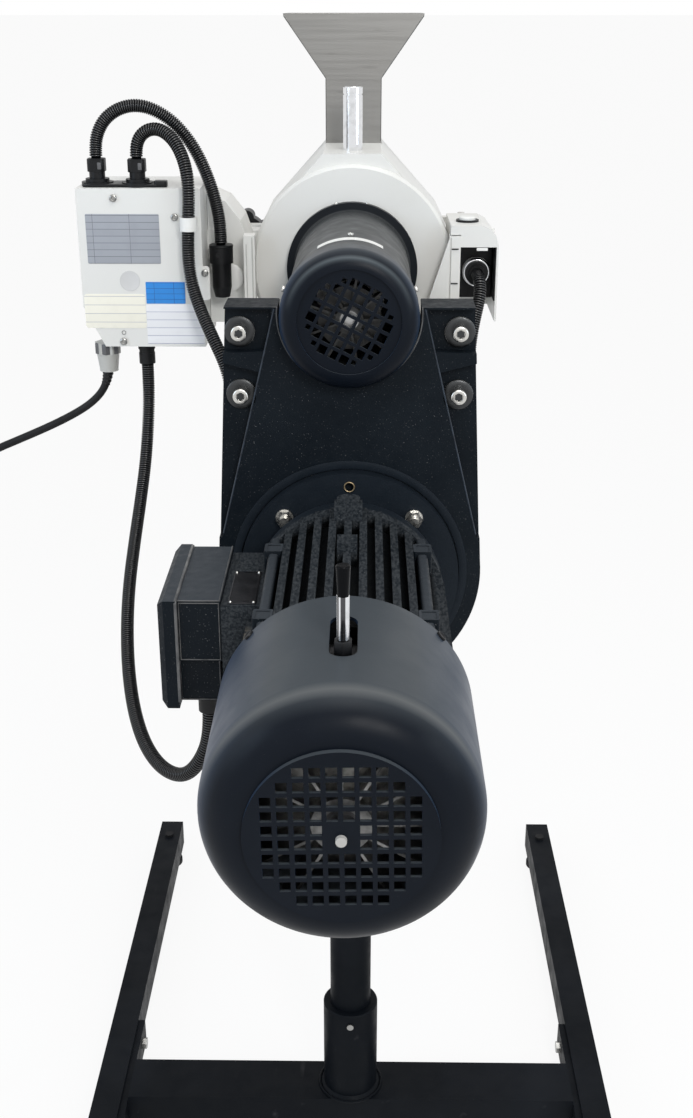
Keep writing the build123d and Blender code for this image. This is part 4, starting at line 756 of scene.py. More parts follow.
def rounded_plate(low, high, corner, axis, soft=0.0):
    """A plate between two points of space whose edges along one axis are rounded."""
    size = [b - a for a, b in zip(low, high)]
    centre = [(a + b) / 2 for a, b in zip(low, high)]
    piece = start_from("cube", size=1, location=centre, scale=size)
    pick(piece, "EDGE", lambda edge: abs((edge.verts[0].co - edge.verts[1].co)[axis]) > 0.9 * size[axis])
    bpy.ops.mesh.bevel(offset=corner, segments=5, affect="EDGES")
    done_editing()
    if soft:
        soften(piece, soft)
    return piece


# %% Handing pieces over
def hand_over(piece, name, finish, body="machine"):
    """Names the piece, dresses it and lets it ride on its body."""
    piece.name = name
    piece.data.materials.clear()
    piece.data.materials.append(finish)
    select_only(piece)
    bpy.ops.object.shade_smooth_by_angle(angle=math.radians(35))
    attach(piece, body)
    return piece


def copy_of(piece, name, change, body="machine"):
    """A copy with its own mesh, moved by a matrix."""
    made = piece.copy()
    made.data = piece.data.copy()
    made.data.transform(change)
    made.name = name
    bpy.context.scene.collection.objects.link(made)
    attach(made, body)
    return made


def shift_between(first, other):
    """The matrix that moves a piece from one place on the plane of X and Z to another."""
    return Matrix.Translation((other[0] - first[0], 0, other[1] - first[1]))


def plate_piece(name, low, high, corner, axis, soft, slot, finish, *work):
    """A rounded plate, worked on one side if any work is given, and handed over. It goes from its low to its high
    point; its edges along the axis get the corner radius, and all edges are softened by a small width."""
    piece = rounded_plate(low, high, corner, axis, soft)
    if work:
        work_face(piece, *work)
    return hand_over(piece, name, finish)


PANEL_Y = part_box("control_box_panel")[0].y
BOX_LOW, BOX_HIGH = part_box("control_box")
print("panel at", round(PANEL_Y, 4), "box top", round(BOX_HIGH.z, 4))

# %% [markdown]
# ## Labels on the control box
#
# Five stickers sit on the box: a silver foil plate, a clear round one, a cream and a white paper one and a blue
# strip. They stay without words. The foil and the papers carry a faint ruled form, which a Brick texture draws:
# its mortar is the ruled line. Thin rounded plates hold them, so their edges catch the light as real stickers do.

# %% Finishes of the labels
def ruled_label(name, paper, line, row, column, roughness):
    """Paper or foil with a ruled form, drawn on the plane of X and Z."""
    made = coat(name, paper, roughness, [(300, 3, 0.05, 0.0003)], (90, 3, roughness - 0.06, roughness + 0.08), [])
    turn = add_node(made, "ShaderNodeMapping", Rotation=(math.radians(-90), 0, 0), Location=(0.0012, 0.0017, 0))
    form = add_node(made, "ShaderNodeTexBrick", Scale=1.0, Mortar_Size=0.00022, Mortar_Smooth=0.2,
                    Brick_Width=column, Row_Height=row, Color1=(*paper, 1), Mortar=(*line, 1),
                    Color2=(*(c * 0.94 for c in paper), 1), offset=0.0)
    join(made, object_place(made), turn.inputs["Vector"])
    join(made, turn.outputs["Vector"], form.inputs["Vector"])
    join(made, form.outputs["Color"], principled(made).inputs["Base Color"])
    stain(made, 60, 5, 0.5, 0.8, 0.4, tuple(c * 0.8 for c in paper))
    return made


FOIL = ruled_label("silver_foil", (0.33, 0.35, 0.39), (0.10, 0.105, 0.12), 0.0066, 0.0360, 0.34)
CREAM_PAPER = ruled_label("cream_paper", (0.85, 0.83, 0.73), (0.30, 0.31, 0.40), 0.0086, 0.300, 0.5)
WHITE_PAPER = ruled_label("white_paper", (0.80, 0.81, 0.84), (0.16, 0.17, 0.32), 0.0080, 0.300, 0.45)
BLUE_PRINT = ruled_label("blue_print", (0.020, 0.24, 0.68), (0.008, 0.06, 0.28), 0.0054, 0.0195, 0.35)
CLEAR_FILM = tinted_plastic("clear_film", (0.60, 0.60, 0.60), 0.18)
print("finishes with labels", len(bpy.data.materials))

# %% Labels
LABEL_THICK = 0.0003
LABEL_RIM = 0.0006
LABEL_SWELL = 0.00006
LABELS = [("silver_label", (-0.2600, 1.0540), (-0.1880, 1.1018), 0.0012, FOIL),
          ("cream_label", (-0.2665, 0.9898), (-0.2055, 1.0240), 0.0030, CREAM_PAPER),
          ("blue_label", (-0.2045, 1.0145), (-0.1655, 1.0360), 0.0008, BLUE_PRINT),
          ("white_label", (-0.2052, 0.9740), (-0.1480, 1.0138), 0.0008, WHITE_PAPER)]
for name, low, high, corner, finish in LABELS:
    plate_piece(name, (low[0], PANEL_Y - LABEL_THICK, low[1]), (high[0], PANEL_Y, high[1]), corner, 1, 0.0,
                "white_plastic", finish, REAR, ("inset", LABEL_RIM), ("move", -LABEL_SWELL))
sticker = rear_disc((-0.2198, PANEL_Y - LABEL_THICK / 2, 1.0369), 0.0100, LABEL_THICK)
work_face(sticker, REAR, ("inset", 0.0012), ("inset", 0.0004), ("move", 0.00012))
hand_over(sticker, "round_label", CLEAR_FILM)
print("labels", len(LABELS) + 1)

# %% [markdown]
# ## Screws of the control box
#
# The panel is held by pan-head screws with a recess. One is modelled: a short cylinder whose face is inset and
# pulled out into a dome, then inset again and pushed in. The others are copies.

# %% Screws of the control box
def pan_screw(place, radius, height):
    """A domed screw head that looks towards -Y, with a recess."""
    head = rear_disc((place[0], place[1] - height / 2, place[2]), radius, height, 28)
    work_face(head, REAR, ("inset", 0.28 * radius), ("move", -0.22 * height), ("inset", 0.24 * radius),
              ("move", -0.05 * height), ("extrude", 0.6 * height))
    soften(head, 0.06 * radius, 1)
    return head


PANEL_SCREWS = [(-0.2313, 1.1170), (-0.1725, 1.0990), (-0.1452, 1.0450), (-0.2296, 0.9765)]
plate_piece("panel_tab", (-0.1530, PANEL_Y - 0.0002, 1.0180), (-0.1405, PANEL_Y + 0.0016, 1.0515), 0.0030, 1,
            0.0004, "white_paint", WHITE)
first_screw = pan_screw((PANEL_SCREWS[0][0], PANEL_Y, PANEL_SCREWS[0][1]), 0.0036, 0.0022)
hand_over(first_screw, "panel_screw_1", BOLT_STEEL)
for i, place in enumerate(PANEL_SCREWS[1:], 2):
    copy_of(first_screw, f"panel_screw_{i}", shift_between(PANEL_SCREWS[0], place))
hole = rear_disc((-0.2290, PANEL_Y, 0.9852), 0.0021, 0.0008, 24)
work_face(hole, REAR, ("inset", 0.0004), ("extrude", 0.0005))
hand_over(hole, "panel_hole_plug", PLASTIC)
print("panel screws", len(PANEL_SCREWS))

# %% [markdown]
# ## Glands and plugs of the hoses
#
# A black mounting strip lies under the two top glands. Each gland's collar is nearly square, with a small window of
# the locking slide, and the plug at the lock has a round mark on its shoulder and a rim. Where the mains lead
# leaves its gland, a ribbed relief tapers off along it.

# %% Glands and plugs
TOP = BOX_HIGH.z
LOCK_PLUG_AXIS = (-0.1314, 0.070)
plate_piece("gland_strip", (-0.2625, 0.0470, TOP), (-0.1870, 0.0790, TOP + 0.0030), 0.0050, 2, 0.0006,
            "black_plastic", PLASTIC)
plate_piece("gland_catch", (-0.1925, 0.0475, TOP), (-0.1800, 0.0600, TOP + 0.0060), 0.0030, 2, 0.0008,
            "black_plastic", PLASTIC)
for name, (x, y, z) in (("lock", LOCK_ROUTE[0]), ("hood", HOOD_ROUTE[0])):
    plate_piece(name + "_gland_collar", (x - 0.0086, y - 0.0086, z - 0.0125), (x + 0.0086, y + 0.0086, z - 0.0002),
                0.0048, 2, 0.0007, "black_plastic", PLASTIC, REAR, ("inset", 0.0012), ("move", 0.0005))
    plate_piece(name + "_gland_window", (x + 0.0022, y - 0.0090, z - 0.0100), (x + 0.0058, y - 0.0070, z - 0.0035),
                0.0006, 1, 0.0002, "grey_plastic", DARK_GREY_PLASTIC)
GLAND_LOW, GLAND_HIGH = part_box("mains_gland")
gland_nut = upright(((GLAND_HIGH.x + GLAND_LOW.x) / 2, (GLAND_HIGH.y + GLAND_LOW.y) / 2, BOX_LOW.z - 0.0060),
                    (GLAND_HIGH.x - GLAND_LOW.x) / 2 + 0.0006, 0.0110, 6)
soften(gland_nut, 0.0008)
hand_over(gland_nut, "mains_gland_nut", DARK_GREY_PLASTIC)
mark = rear_disc((LOCK_PLUG_AXIS[0] - 0.002, LOCK_PLUG_AXIS[1] - 0.0117, 1.0590), 0.0026, 0.0012, 32)
work_face(mark, REAR, ("inset", 0.0006), ("extrude", 0.0005))
hand_over(mark, "lock_plug_mark", PLASTIC)
plug_rim = upright((*LOCK_PLUG_AXIS, 1.0665), 0.0121, 0.0022, 48)
soften(plug_rim, 0.0006)
hand_over(plug_rim, "lock_plug_rim", PLASTIC)
print("gland and plug pieces", 9)

# %% Strain relief of the mains lead
RELIEF_LENGTH = 0.030
RELIEF_STEPS = 16
RELIEF_SIDES = 24
RELIEF_START, RELIEF_TAPER, RELIEF_GROOVE = 0.0074, 0.0028, 0.0007
relief_side = Vector((0, 1, 0))
relief_vertices = []
for i in range(RELIEF_STEPS + 1):
    centre, ahead = along_line(mains_line, 0.0005 + i / RELIEF_STEPS * RELIEF_LENGTH)
    radius = RELIEF_START - RELIEF_TAPER * i / RELIEF_STEPS - (RELIEF_GROOVE if i % 2 else 0.0)
    relief_vertices += ring_at(centre, ahead.cross(relief_side).normalized(), relief_side, radius, RELIEF_SIDES)
relief = tube_of_rings("strain_relief", relief_vertices, RELIEF_SIDES)
select_only(relief)
bpy.ops.object.mode_set(mode="EDIT")
bpy.ops.mesh.select_all(action="SELECT")
bpy.ops.mesh.normals_make_consistent(inside=False)
done_editing()
hand_over(relief, "strain_relief", PLASTIC)
print("strain relief", RELIEF_LENGTH)

# %% [markdown]
# ## Spindle unit
#
# The upper cowl is held by small screws at its sides and one on top of the barrel. A narrow white strip lies round
# the barrel just behind the cowl. It is a slice of a cylinder: the faces outside its arc are deleted, and the rest
# gets a thickness.

# %% Spindle unit
BARREL_RADIUS = 0.057
STRIP_HALF_ANGLE = math.radians(31)
COWL_SCREW_REACH, FLANGE_SCREW_REACH = 0.0600, 0.0655
STRIP_Y = -0.1000
STRIP_WIDTH = 0.0125


def spindle_angle(face):
    centre = face.calc_center_median()
    return abs(math.atan2(centre.x, centre.z - SPINDLE_Z))


arc = start_from("cylinder", vertices=120, radius=BARREL_RADIUS + 0.0002, depth=STRIP_WIDTH,
                 location=(0, STRIP_Y, SPINDLE_Z), rotation=(math.radians(90), 0, 0), end_fill_type="NOTHING")
pick(arc, "FACE", lambda face: spindle_angle(face) > STRIP_HALF_ANGLE)
bpy.ops.mesh.delete(type="FACE")
done_editing()
wall = arc.modifiers.new("wall", "SOLIDIFY")
wall.thickness = 0.0004
wall.offset = 1
bpy.ops.object.modifier_apply(modifier=wall.name)
hand_over(arc, "barrel_strip", WHITE_PLASTIC)


def turn_about(piece, axis_z, angle):
    """Lifts a piece to an axis along Y at a height and turns it round the axis, from straight up."""
    piece.data.transform(Matrix.Translation((0, 0, axis_z)) @ Matrix.Rotation(math.radians(angle), 4, "Y"))


def radial_screw(name, angle, reach, along, radius=0.0026):
    """A small cap screw that stands on the spindle's barrel or cowl, at an angle from straight up."""
    head = upright((0, along, reach + 0.0010), radius, 0.0024, 24)
    work_face(head, UP, ("inset", 0.45 * radius), ("extrude", -0.0012))
    soften(head, 0.0003)
    turn_about(head, SPINDLE_Z, angle)
    hand_over(head, name, ZINC)


radial_screw("barrel_screw", 0, BARREL_RADIUS, -0.0812)
for name, angle in (("right", 68), ("left", -68)):
    radial_screw("cowl_screw_" + name, angle, COWL_SCREW_REACH, -0.1490)
for i, angle in enumerate((-14, 13), 1):
    radial_screw(f"flange_screw_{i}", angle, FLANGE_SCREW_REACH, 0.0712, 0.0017)
print("spindle screws", 5)

# %% [markdown]
# ## Hood, frame and plug
#
# Under the white hood, black sheets are painted shade in its hollow, a bright ring screws the round plug down, and a
# small white strip shows at the top. Dark seams with two notches mark where the cheek of the frame meets the hood and
# the back plate. On the other side a white disc closes the round opening by the lock.

# %% Hood, frame and plug
HOOD_PLUG_PLACE = (0.1265, 0.0872, 1.0380)
LOCK_DISC_PLACE = (-0.1240, 0.0830, 1.0330)
# Painted shade: black sheets under the hood stand in for the shade inside it.
plate_piece("hood_shade_sheet", (0.1088, 0.0964, 1.0105), (0.1438, 0.0979, 1.0715), 0.0010, 1, 0.0003,
            "black_plastic", PLASTIC, REAR, ("inset", 0.0016), ("move", 0.0004))
plate_piece("hood_roof_shade_sheet", (0.1088, 0.0645, 1.0700), (0.1435, 0.0962, 1.0717), 0.0010, 2, 0.0003,
            "black_plastic", PLASTIC, DOWN, ("inset", 0.0020), ("move", 0.0004))
plate_piece("hood_side_shade_sheet", (0.1427, 0.0645, 1.0130), (0.1439, 0.0962, 1.0700), 0.0006, 0, 0.0002,
            "black_plastic", PLASTIC, LEFT, ("inset", 0.0020), ("move", 0.0003))
plate_piece("hood_strip", (0.1240, 0.0612, 1.0636), (0.1350, 0.0622, 1.0664), 0.0006, 1, 0.0002,
            "white_plastic", WHITE_PLASTIC)
ring = rear_disc(HOOD_PLUG_PLACE, 0.0143, 0.0022)
work_face(ring, REAR, ("inset", 0.0012), ("move", -0.0012), ("inset", 0.0017), ("extrude", 0.0012))
soften(ring, 0.0003)
hand_over(ring, "hood_plug_ring", CHROME)
SEAMS = [("right_seam", 0.0982, 0.0990, 1.0150, 1.0765), ("left_seam", -0.1000, -0.0992, 1.0150, 1.0765),
         ("left_outer_seam", -0.1058, -0.1051, 1.0100, 1.0700)]
for name, low_x, high_x, low_z, high_z in SEAMS:
    plate_piece(name, (low_x, 0.0592, low_z), (high_x, 0.0600, high_z), 0.0003, 1, 0.0001,
                "black_plastic", GREY_PLASTIC)
for i, z in enumerate((1.0655, 1.0315), 1):
    plate_piece(f"hood_notch_{i}", (0.0990, 0.0590, z - 0.0006), (0.1060, 0.0600, z + 0.0006), 0.0004, 1, 0.0001,
                "black_plastic", PLASTIC)
disc = rear_disc(LOCK_DISC_PLACE, 0.0135, 0.0024)
work_face(disc, REAR, ("inset", 0.0022), ("move", -0.0008))
soften(disc, 0.0004)
hand_over(disc, "lock_socket_disc", WHITE_PLASTIC)
print("hood and plug pieces", 11)

# %% [markdown]
# ## Belt casting
#
# A casting has rounded ridges that catch the light where the raised middle falls into the corner pockets, and a
# machined step lies round the motor's flange. The ridges and the rim of the cut-out are thin round beads in a lighter
# enamel, which is a painted highlight: a curve with a bevel is quickest for them, turned into a mesh at the end.

# %% Belt casting
def bead(name, points, radius, finish, body="machine", closed=False):
    """A thin rounded bead along straight runs, as a mesh."""
    made = thick_curve(name, "POLY", points, radius, 3)
    made.data.splines[0].use_cyclic_u = closed
    select_only(made)
    bpy.ops.object.convert(target="MESH")
    return hand_over(bpy.context.object, name, finish, body)


def arc_points(radius, y, centre_z, start, end, count):
    """Points of an arc round an axis along Y, with angles from straight up."""
    angles = [math.radians(start + (end - start) * i / count) for i in range(count + 1)]
    return [(radius * math.sin(a), y, centre_z + radius * math.cos(a)) for a in angles]


CASTING_LOW, CASTING_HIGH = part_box("belt_casting")
CASTING_FACE = CASTING_LOW.y
CASTING_TOP = CASTING_HIGH.z
RIDGE_TOP_X = 0.0650
RIDGE_SLOPE = 0.2418
RIDGE_LOW = 0.8420
CUT_OUT_RADIUS = 0.0628
STEP_RADIUS, STEP_WIDTH = 0.1085, 0.0075
TAPPED_HOLE = (0, -0.1592, 0.8915)
SIDES = ((-1, "left"), (1, "right"))
ridge_low_x = RIDGE_TOP_X + RIDGE_SLOPE * (CASTING_TOP - RIDGE_LOW)
for side, name in SIDES:
    bead(name + "_ridge", [(side * RIDGE_TOP_X, CASTING_FACE + 0.0003, CASTING_TOP - 0.0016),
                           (side * ridge_low_x, CASTING_FACE + 0.0003, RIDGE_LOW)],
         0.0008, RIDGE_HIGHLIGHT_ENAMEL)
cut = math.degrees(math.acos((CASTING_TOP - SPINDLE_Z) / CUT_OUT_RADIUS))
bead("cut_out_bead", arc_points(CUT_OUT_RADIUS, CASTING_FACE + 0.0002, SPINDLE_Z, cut, 360 - cut, 72), 0.0007,
     EDGE_HIGHLIGHT_ENAMEL)
step = rear_disc((0, CASTING_FACE - 0.0008, MOTOR_Z), STEP_RADIUS, 0.0016, 128)
pick(step, "FACE", lambda face: abs(face.normal.y) > 0.9)
bpy.ops.mesh.inset(thickness=STEP_WIDTH)
bpy.ops.mesh.bridge_edge_loops()
done_editing()
soften(step, 0.0005)
hand_over(step, "flange_step", FLANGE_ENAMEL)
hole_rim = hoop(TAPPED_HOLE, 0.0044, 0.0007, 48, 8, 90)
hand_over(hole_rim, "tapped_hole_rim", DULL_BRASS)
print("casting pieces", 5)

# %% [markdown]
# ## Washers and screw heads
#
# The CAD solids of the four ear screws hold their size. A thin rolled rim lies on each wide washer, and a polished
# ring lies on each head, with a hexagon recess in dark steel that is painted shade.

# %% Washers and screw heads
EAR_SCREWS = [(x, z) for x in (-0.096, 0.096) for z in (1.027, 0.971)]
EAR_X, EAR_Z = EAR_SCREWS[0]
WASHER_FACE = CASTING_FACE + 0.012 - 0.003
HEAD_FACE = WASHER_FACE - 0.0091
washer_rim = rear_disc((EAR_X, WASHER_FACE - 0.0003, EAR_Z), 0.0132, 0.0006)
work_face(washer_rim, REAR, ("inset", 0.0011), ("move", -0.0006), ("inset", 0.0030), ("move", 0.0001))
hand_over(washer_rim, "washer_face_1", WASHER_STEEL)
socket = rear_disc((EAR_X, HEAD_FACE, EAR_Z), 0.0069, 0.0012, 48)
work_face(socket, REAR, ("inset", 0.0009), ("move", -0.0007), ("inset", 0.0022), ("extrude", 0.0016))
soften(socket, 0.0002, 1)
hand_over(socket, "screw_face_1", ZINC)
# Painted shade: the hexagon recess is dark steel.
hexagon = rear_disc((EAR_X, HEAD_FACE, EAR_Z), 0.0036, 0.0008, 6)
work_face(hexagon, REAR, ("inset", 0.0004), ("extrude", 0.0004))
hand_over(hexagon, "screw_recess_1", WASHER_STEEL)
for i, place in enumerate(EAR_SCREWS[1:], 2):
    for piece, name in ((washer_rim, "washer_face"), (socket, "screw_face"), (hexagon, "screw_recess")):
        copy_of(piece, f"{name}_{i}", shift_between(EAR_SCREWS[0], place))
print("ear screws", len(EAR_SCREWS))

# %% [markdown]
# ## Motor
#
# Two side rails with screw pads frame the fins, a small plate with four rivets sits on the terminal box base, and
# the cowl's rim is held by clips at its sides. The release lever's rod stands in a polished sleeve on a black
# hexagon in the cowl's slot.

# %% Rails
for side, name in SIDES:
    inner, outer = sorted((side * 0.0575, side * 0.0665))
    plate_piece(name + "_rail", (inner, -0.4120, 0.8500), (outer, -0.2200, 0.8665), 0.0030, 1, 0.0008,
                "black_paint", DUSTY_CASTING)
    inner, outer = sorted((side * 0.0545, side * 0.0700))
    for i, y in enumerate((-0.2480, -0.3820), 1):
        plate_piece(f"{name}_rail_pad_{i}", (inner, y - 0.0090, 0.8480), (outer, y + 0.0090, 0.8690), 0.0020, 2,
                    0.0008, "black_paint", DUSTY_CASTING, UP, ("inset", 0.0022), ("move", -0.0014))
print("rails and pads", 6)

# %% Rating plate and cowl clips
PLATE_LOW, PLATE_HIGH = (-0.0955, -0.3145, 0.8460), (-0.0728, -0.2485, 0.8468)
RIVET_INSET = (0.002, 0.0025)
COWL_REACH = 0.0950
CLIP_ANGLE = 47
plate_piece("rating_plate", PLATE_LOW, PLATE_HIGH, 0.0012, 2, 0.0002, "aluminium", BLACK_FOIL,
            UP, ("inset", 0.0010), ("move", -0.0002))
rivet_place = (PLATE_LOW[0] + RIVET_INSET[0], PLATE_LOW[1] + RIVET_INSET[1], 0.8466)
rivet = start_from("uv_sphere", segments=16, ring_count=8, radius=0.0014, location=rivet_place)
pick(rivet, "FACE", lambda face: face.calc_center_median().z < rivet_place[2])
bpy.ops.transform.resize(value=(1, 1, 0.2), center_override=rivet_place)
done_editing()
hand_over(rivet, "plate_rivet_1", ZINC)
across, along = (PLATE_HIGH[i] - PLATE_LOW[i] - 2 * RIVET_INSET[i] for i in range(2))
for i, move in enumerate(((across, 0, 0), (0, along, 0), (across, along, 0)), 2):
    copy_of(rivet, f"plate_rivet_{i}", Matrix.Translation(move))
for side, name in SIDES:
    clip = upright((0, -0.4190, COWL_REACH), 0.0040, 0.0030, 24)
    work_face(clip, UP, ("inset", 0.0012), ("move", -0.0010))
    soften(clip, 0.0005)
    turn_about(clip, MOTOR_Z, side * CLIP_ANGLE)
    hand_over(clip, name + "_cowl_clip", PLASTIC)
print("plate, rivets and clips", 7)

# %% Release lever
LEVER_Y = -0.5000
SLEEVE_PLACE = (0, LEVER_Y, 0.9210)
nut = upright((0, LEVER_Y, 0.8990), 0.0066, 0.0120, 6)
soften(nut, 0.0009)
hand_over(nut, "lever_nut", PLASTIC, "brake_lever")
sleeve = upright(SLEEVE_PLACE, 0.0043, 0.0310, 40)
pick(sleeve, "FACE", lambda face: abs(face.normal.z) > 0.9)
bpy.ops.mesh.inset(thickness=0.0006)
bpy.ops.transform.resize(value=(1, 1, 1.01), center_override=SLEEVE_PLACE)
done_editing()
hand_over(sleeve, "lever_sleeve", LEVER_CHROME, "brake_lever")
print("lever pieces", 2)

# %% [markdown]
# The terminal box has a seal under its lid, and lips along its edges in a lighter enamel that is a painted highlight.

# %% Terminal box lips
LID_LOW, LID_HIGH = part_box("terminal_box_lid")
LIP_RADIUS = 0.0006
seam_x = LID_HIGH.x + 0.0004
plate_piece("terminal_box_seal", (seam_x - 0.0014, LID_LOW.y - 0.0004, LID_LOW.z + 0.004),
            (seam_x + 0.0010, LID_HIGH.y + 0.0002, LID_HIGH.z + 0.0003), 0.0030, 0, 0.0004,
            "black_plastic", EDGE_HIGHLIGHT_ENAMEL)
rear_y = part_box("terminal_box")[0].y - 0.0004
bead("terminal_rear_lip", [(-0.1345, rear_y, 0.8485), (-0.1025, rear_y, 0.8485), (-0.1025, rear_y, 0.7985),
                           (-0.1345, rear_y, 0.7985)], LIP_RADIUS, EDGE_HIGHLIGHT_ENAMEL, closed=True)
bead("terminal_step_lip", [(-0.1365, -0.3122, 0.7590), (-0.1040, -0.3122, 0.7590), (-0.1040, -0.3122, 0.7955)],
     LIP_RADIUS, EDGE_HIGHLIGHT_ENAMEL)
bead("terminal_top_lip", [(-0.1365, -0.3176, 0.8502), (-0.1020, -0.3176, 0.8502), (-0.1020, -0.2004, 0.8502)],
     LIP_RADIUS, EDGE_HIGHLIGHT_ENAMEL)
print("terminal box lips", 4)

# %% [markdown]
# ## Hopper
#
# The sheet is folded over at the mouth and welded along the slanted edges. The fold is a frame: a plane at the
# mouth is inset, its middle deleted, and the strip extruded up. Dark beads mark the slanted corners, where the
# sheet turns.

# %% Hopper
HOPPER_LOW, HOPPER_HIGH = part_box("hopper")
HEM_HEIGHT = 0.0022
HEM_MARGIN = 0.0008
NECK_X = 0.0290
NECK_FOOT_Z = 1.156
SHOULDER_Z = HOPPER_HIGH.z - 0.063
mouth_centre = (*((HOPPER_LOW[i] + HOPPER_HIGH[i]) / 2 for i in range(2)), HOPPER_HIGH.z - HEM_HEIGHT)
mouth_size = [HOPPER_HIGH[i] - HOPPER_LOW[i] - HEM_MARGIN for i in range(2)]
hem = start_from("plane", size=1, location=mouth_centre)
pick(hem, "FACE", lambda face: True)
bpy.ops.transform.resize(value=(*mouth_size, 1), center_override=mouth_centre)
bpy.ops.mesh.inset(thickness=0.0030)
bpy.ops.mesh.delete(type="FACE")
bpy.ops.mesh.select_all(action="SELECT")
bpy.ops.mesh.extrude_region_move(TRANSFORM_OT_translate={"value": (0, 0, HEM_HEIGHT)})
bpy.ops.mesh.select_all(action="SELECT")
bpy.ops.mesh.normals_make_consistent(inside=False)
done_editing()
soften(hem, 0.0004)
hand_over(hem, "hopper_hem", SHEET, "hopper")
edge_y = HOPPER_LOW.y + 0.0003
for side, name in SIDES:
    bead(name + "_hopper_edge", [(side * NECK_X, edge_y, NECK_FOOT_Z), (side * NECK_X, edge_y, SHOULDER_Z),
                                 (side * (HOPPER_HIGH.x - 0.0009), edge_y, HOPPER_HIGH.z - 0.0024)],
         0.0005, DARK_SHEET, "hopper")
print("hopper pieces", 3)

# %% [markdown]
# ## Door, vessel and stand
#
# These face away from the camera, and get the same care: a raised bead and four screws on the door, two rolled
# beads round the vessel and a weld round the post's sleeve.

# %% Door and vessel
DOOR_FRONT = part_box("door")[1].y
DOOR_BEAD_RADIUS = 0.0700
DOOR_SCREW_REACH = 0.0480
VESSEL_BEAD_RADIUS = 0.0760
door_bead = hoop((0, DOOR_FRONT, SPINDLE_Z), DOOR_BEAD_RADIUS, 0.0012, 96, 10, 90)
hand_over(door_bead, "door_bead", WHITE, "door")
door_screw = pan_screw((DOOR_SCREW_REACH, -DOOR_FRONT, DOOR_SCREW_REACH), 0.0045, 0.0030)
door_screw.data.transform(Matrix.Rotation(math.pi, 4, "Z"))
door_screw.data.transform(Matrix.Translation((0, 0, SPINDLE_Z)))
hand_over(door_screw, "door_screw_1", ZINC, "door")
for i, quarter in enumerate((90, 180, 270), 2):
    turn = (Matrix.Translation((0, 0, SPINDLE_Z)) @ Matrix.Rotation(math.radians(quarter), 4, "Y")
            @ Matrix.Translation((0, 0, -SPINDLE_Z)))
    copy_of(door_screw, f"door_screw_{i}", turn, "door")
VESSEL_LOW, VESSEL_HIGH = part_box("collector_vessel")
for i, z in enumerate((0.668, 0.872), 1):
    roll = hoop((0, (VESSEL_LOW.y + VESSEL_HIGH.y) / 2, z), VESSEL_BEAD_RADIUS, 0.0014, 96, 10)
    hand_over(roll, f"vessel_bead_{i}", SHEET, "collector_vessel")
print("door and vessel pieces", 7)

# %% Weld of the post's sleeve
WELD_PLACE = (0, 0.012, 0.0512)
WELD_RADIUS = 0.0375
WELD_RIPPLE = 6


def on_ripple(face):
    """Whether a face lies on a raised ripple: every second one of a few degrees."""
    centre = face.calc_center_median()
    return int(math.degrees(math.atan2(centre.y - WELD_PLACE[1], centre.x)) / WELD_RIPPLE) % 2 == 0


weld = hoop(WELD_PLACE, WELD_RADIUS, 0.0016, 120, 8)
pick(weld, "FACE", on_ripple)
bpy.ops.transform.resize(value=(1.012, 1.012, 1.0), center_override=WELD_PLACE)
done_editing()
hand_over(weld, "sleeve_weld", POWDER)
print("weld", 1)

# %% [markdown]
# ## Floor and light
#
# A plain white floor fills the picture. It glows for the camera, so that it stays white, and keeps the machine's
# shadow. The world is pale for the camera and for reflections, and dimmer for the light that it gives, and four
# lamps stand round the machine: a large one above, a cool one on each side that draws the long blue highlights on
# the cowls, and a smaller one from the camera's side for the upright faces.

# %% Floor
FLOOR_SIZE = 400.0
FLOOR_GLOW = 0.90


def seen_share(made):
    """1 for rays from the camera, off a mirror or through glass, and 0 for others."""
    rays = add_node(made, "ShaderNodeLightPath").outputs
    seen = combined(made, "MAXIMUM", rays["Is Camera Ray"], rays["Is Glossy Ray"])
    return combined(made, "MAXIMUM", seen, rays["Is Transmission Ray"])


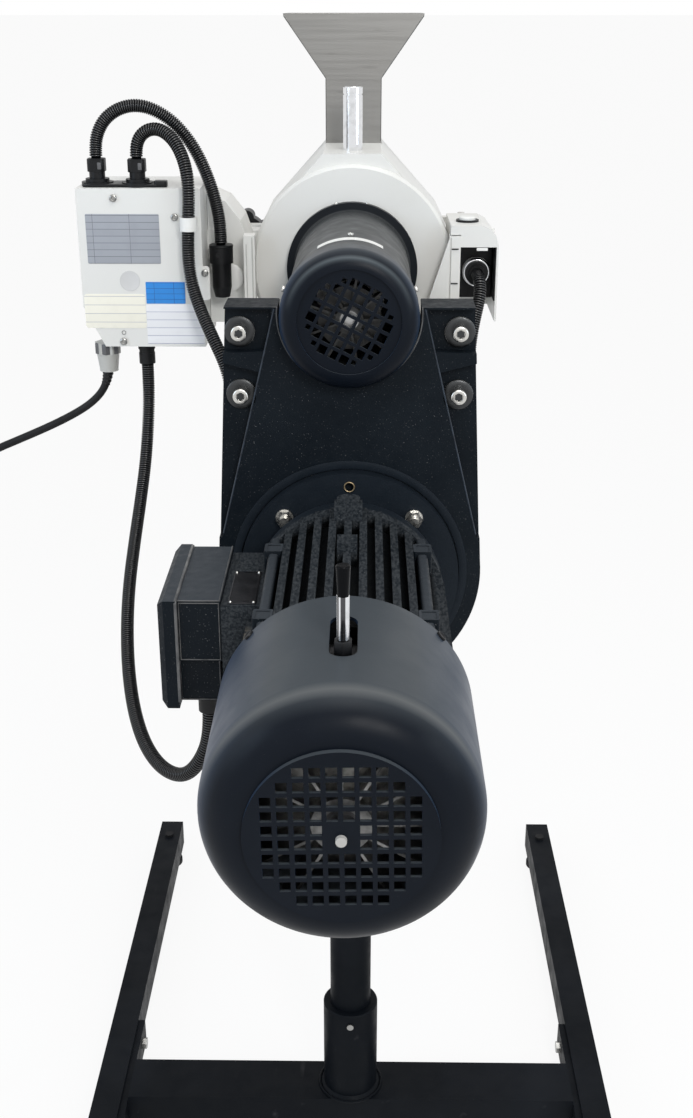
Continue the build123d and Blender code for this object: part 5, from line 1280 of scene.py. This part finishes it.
bpy.ops.object.select_all(action="DESELECT")
bpy.ops.mesh.primitive_plane_add(size=FLOOR_SIZE, location=(0, 0, 0))
floor = bpy.context.object
floor.name = "studio_floor"
FLOOR_FINISH = coat("studio_floor", (0.90, 0.90, 0.90), 0.9, [], None, [])
floor_white = add_node(FLOOR_FINISH, "ShaderNodeEmission", Strength=1.0)
floor_mix = add_node(FLOOR_FINISH, "ShaderNodeMixShader")
join(FLOOR_FINISH, ramp(FLOOR_FINISH, seen_share(FLOOR_FINISH), 0, 1, 0, FLOOR_GLOW), floor_mix.inputs["Fac"])
join(FLOOR_FINISH, principled(FLOOR_FINISH).outputs["BSDF"], floor_mix.inputs[1])
join(FLOOR_FINISH, floor_white.outputs["Emission"], floor_mix.inputs[2])
join(FLOOR_FINISH, floor_mix.outputs["Shader"], FLOOR_FINISH.node_tree.nodes["Material Output"].inputs["Surface"])
floor.data.materials.append(FLOOR_FINISH)
floor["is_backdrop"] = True
print("floor", FLOOR_SIZE)

# %% World and lamps
WORLD_LIGHT = 0.55
WARM_WHITE = (1.0, 0.99, 0.97)
LAMPS = [("lamp_above", (0.2, -0.7, 3.1), (0, -0.1, 0.8), 1.5, 20, WARM_WHITE),
         ("lamp_left", (-2.3, -1.5, 1.7), (0, -0.3, 0.8), 1.2, 18, (0.62, 0.80, 1.0)),
         ("lamp_right", (2.1, -1.4, 1.4), (0, -0.3, 0.8), 1.0, 12, (0.74, 0.87, 1.0)),
         ("lamp_front", (0.8, -2.9, 2.5), (0, 0, 0.95), 0.7, 40, WARM_WHITE)]

world = bpy.data.worlds.new("studio")
bpy.context.scene.world = world
world.use_nodes = True
shade = world.node_tree.nodes["Background"]
shade.inputs["Color"].default_value = (1.0, 1.0, 1.0, 1)
join(world, ramp(world, seen_share(world), 0, 1, WORLD_LIGHT, 1.0), shade.inputs["Strength"])
for name, place, aim, size, power, color in LAMPS:
    data = bpy.data.lights.new(name, "AREA")
    data.size = size
    data.energy = power
    data.color = color
    lamp = bpy.data.objects.new(name, data)
    lamp.location = place
    lamp.rotation_euler = (Vector(aim) - Vector(place)).to_track_quat("-Z", "Y").to_euler()
    bpy.context.scene.collection.objects.link(lamp)
bpy.context.scene.view_settings.view_transform = "Standard"
print("lamps", len(LAMPS))

# %% [markdown]
# ## Visual box
#
# The box round the visual model is printed. The visual model has to stay inside the CAD model's box.

# %% Visual box
low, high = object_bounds()
print("visual box", [round(v, 3) for v in (*low, *high)])
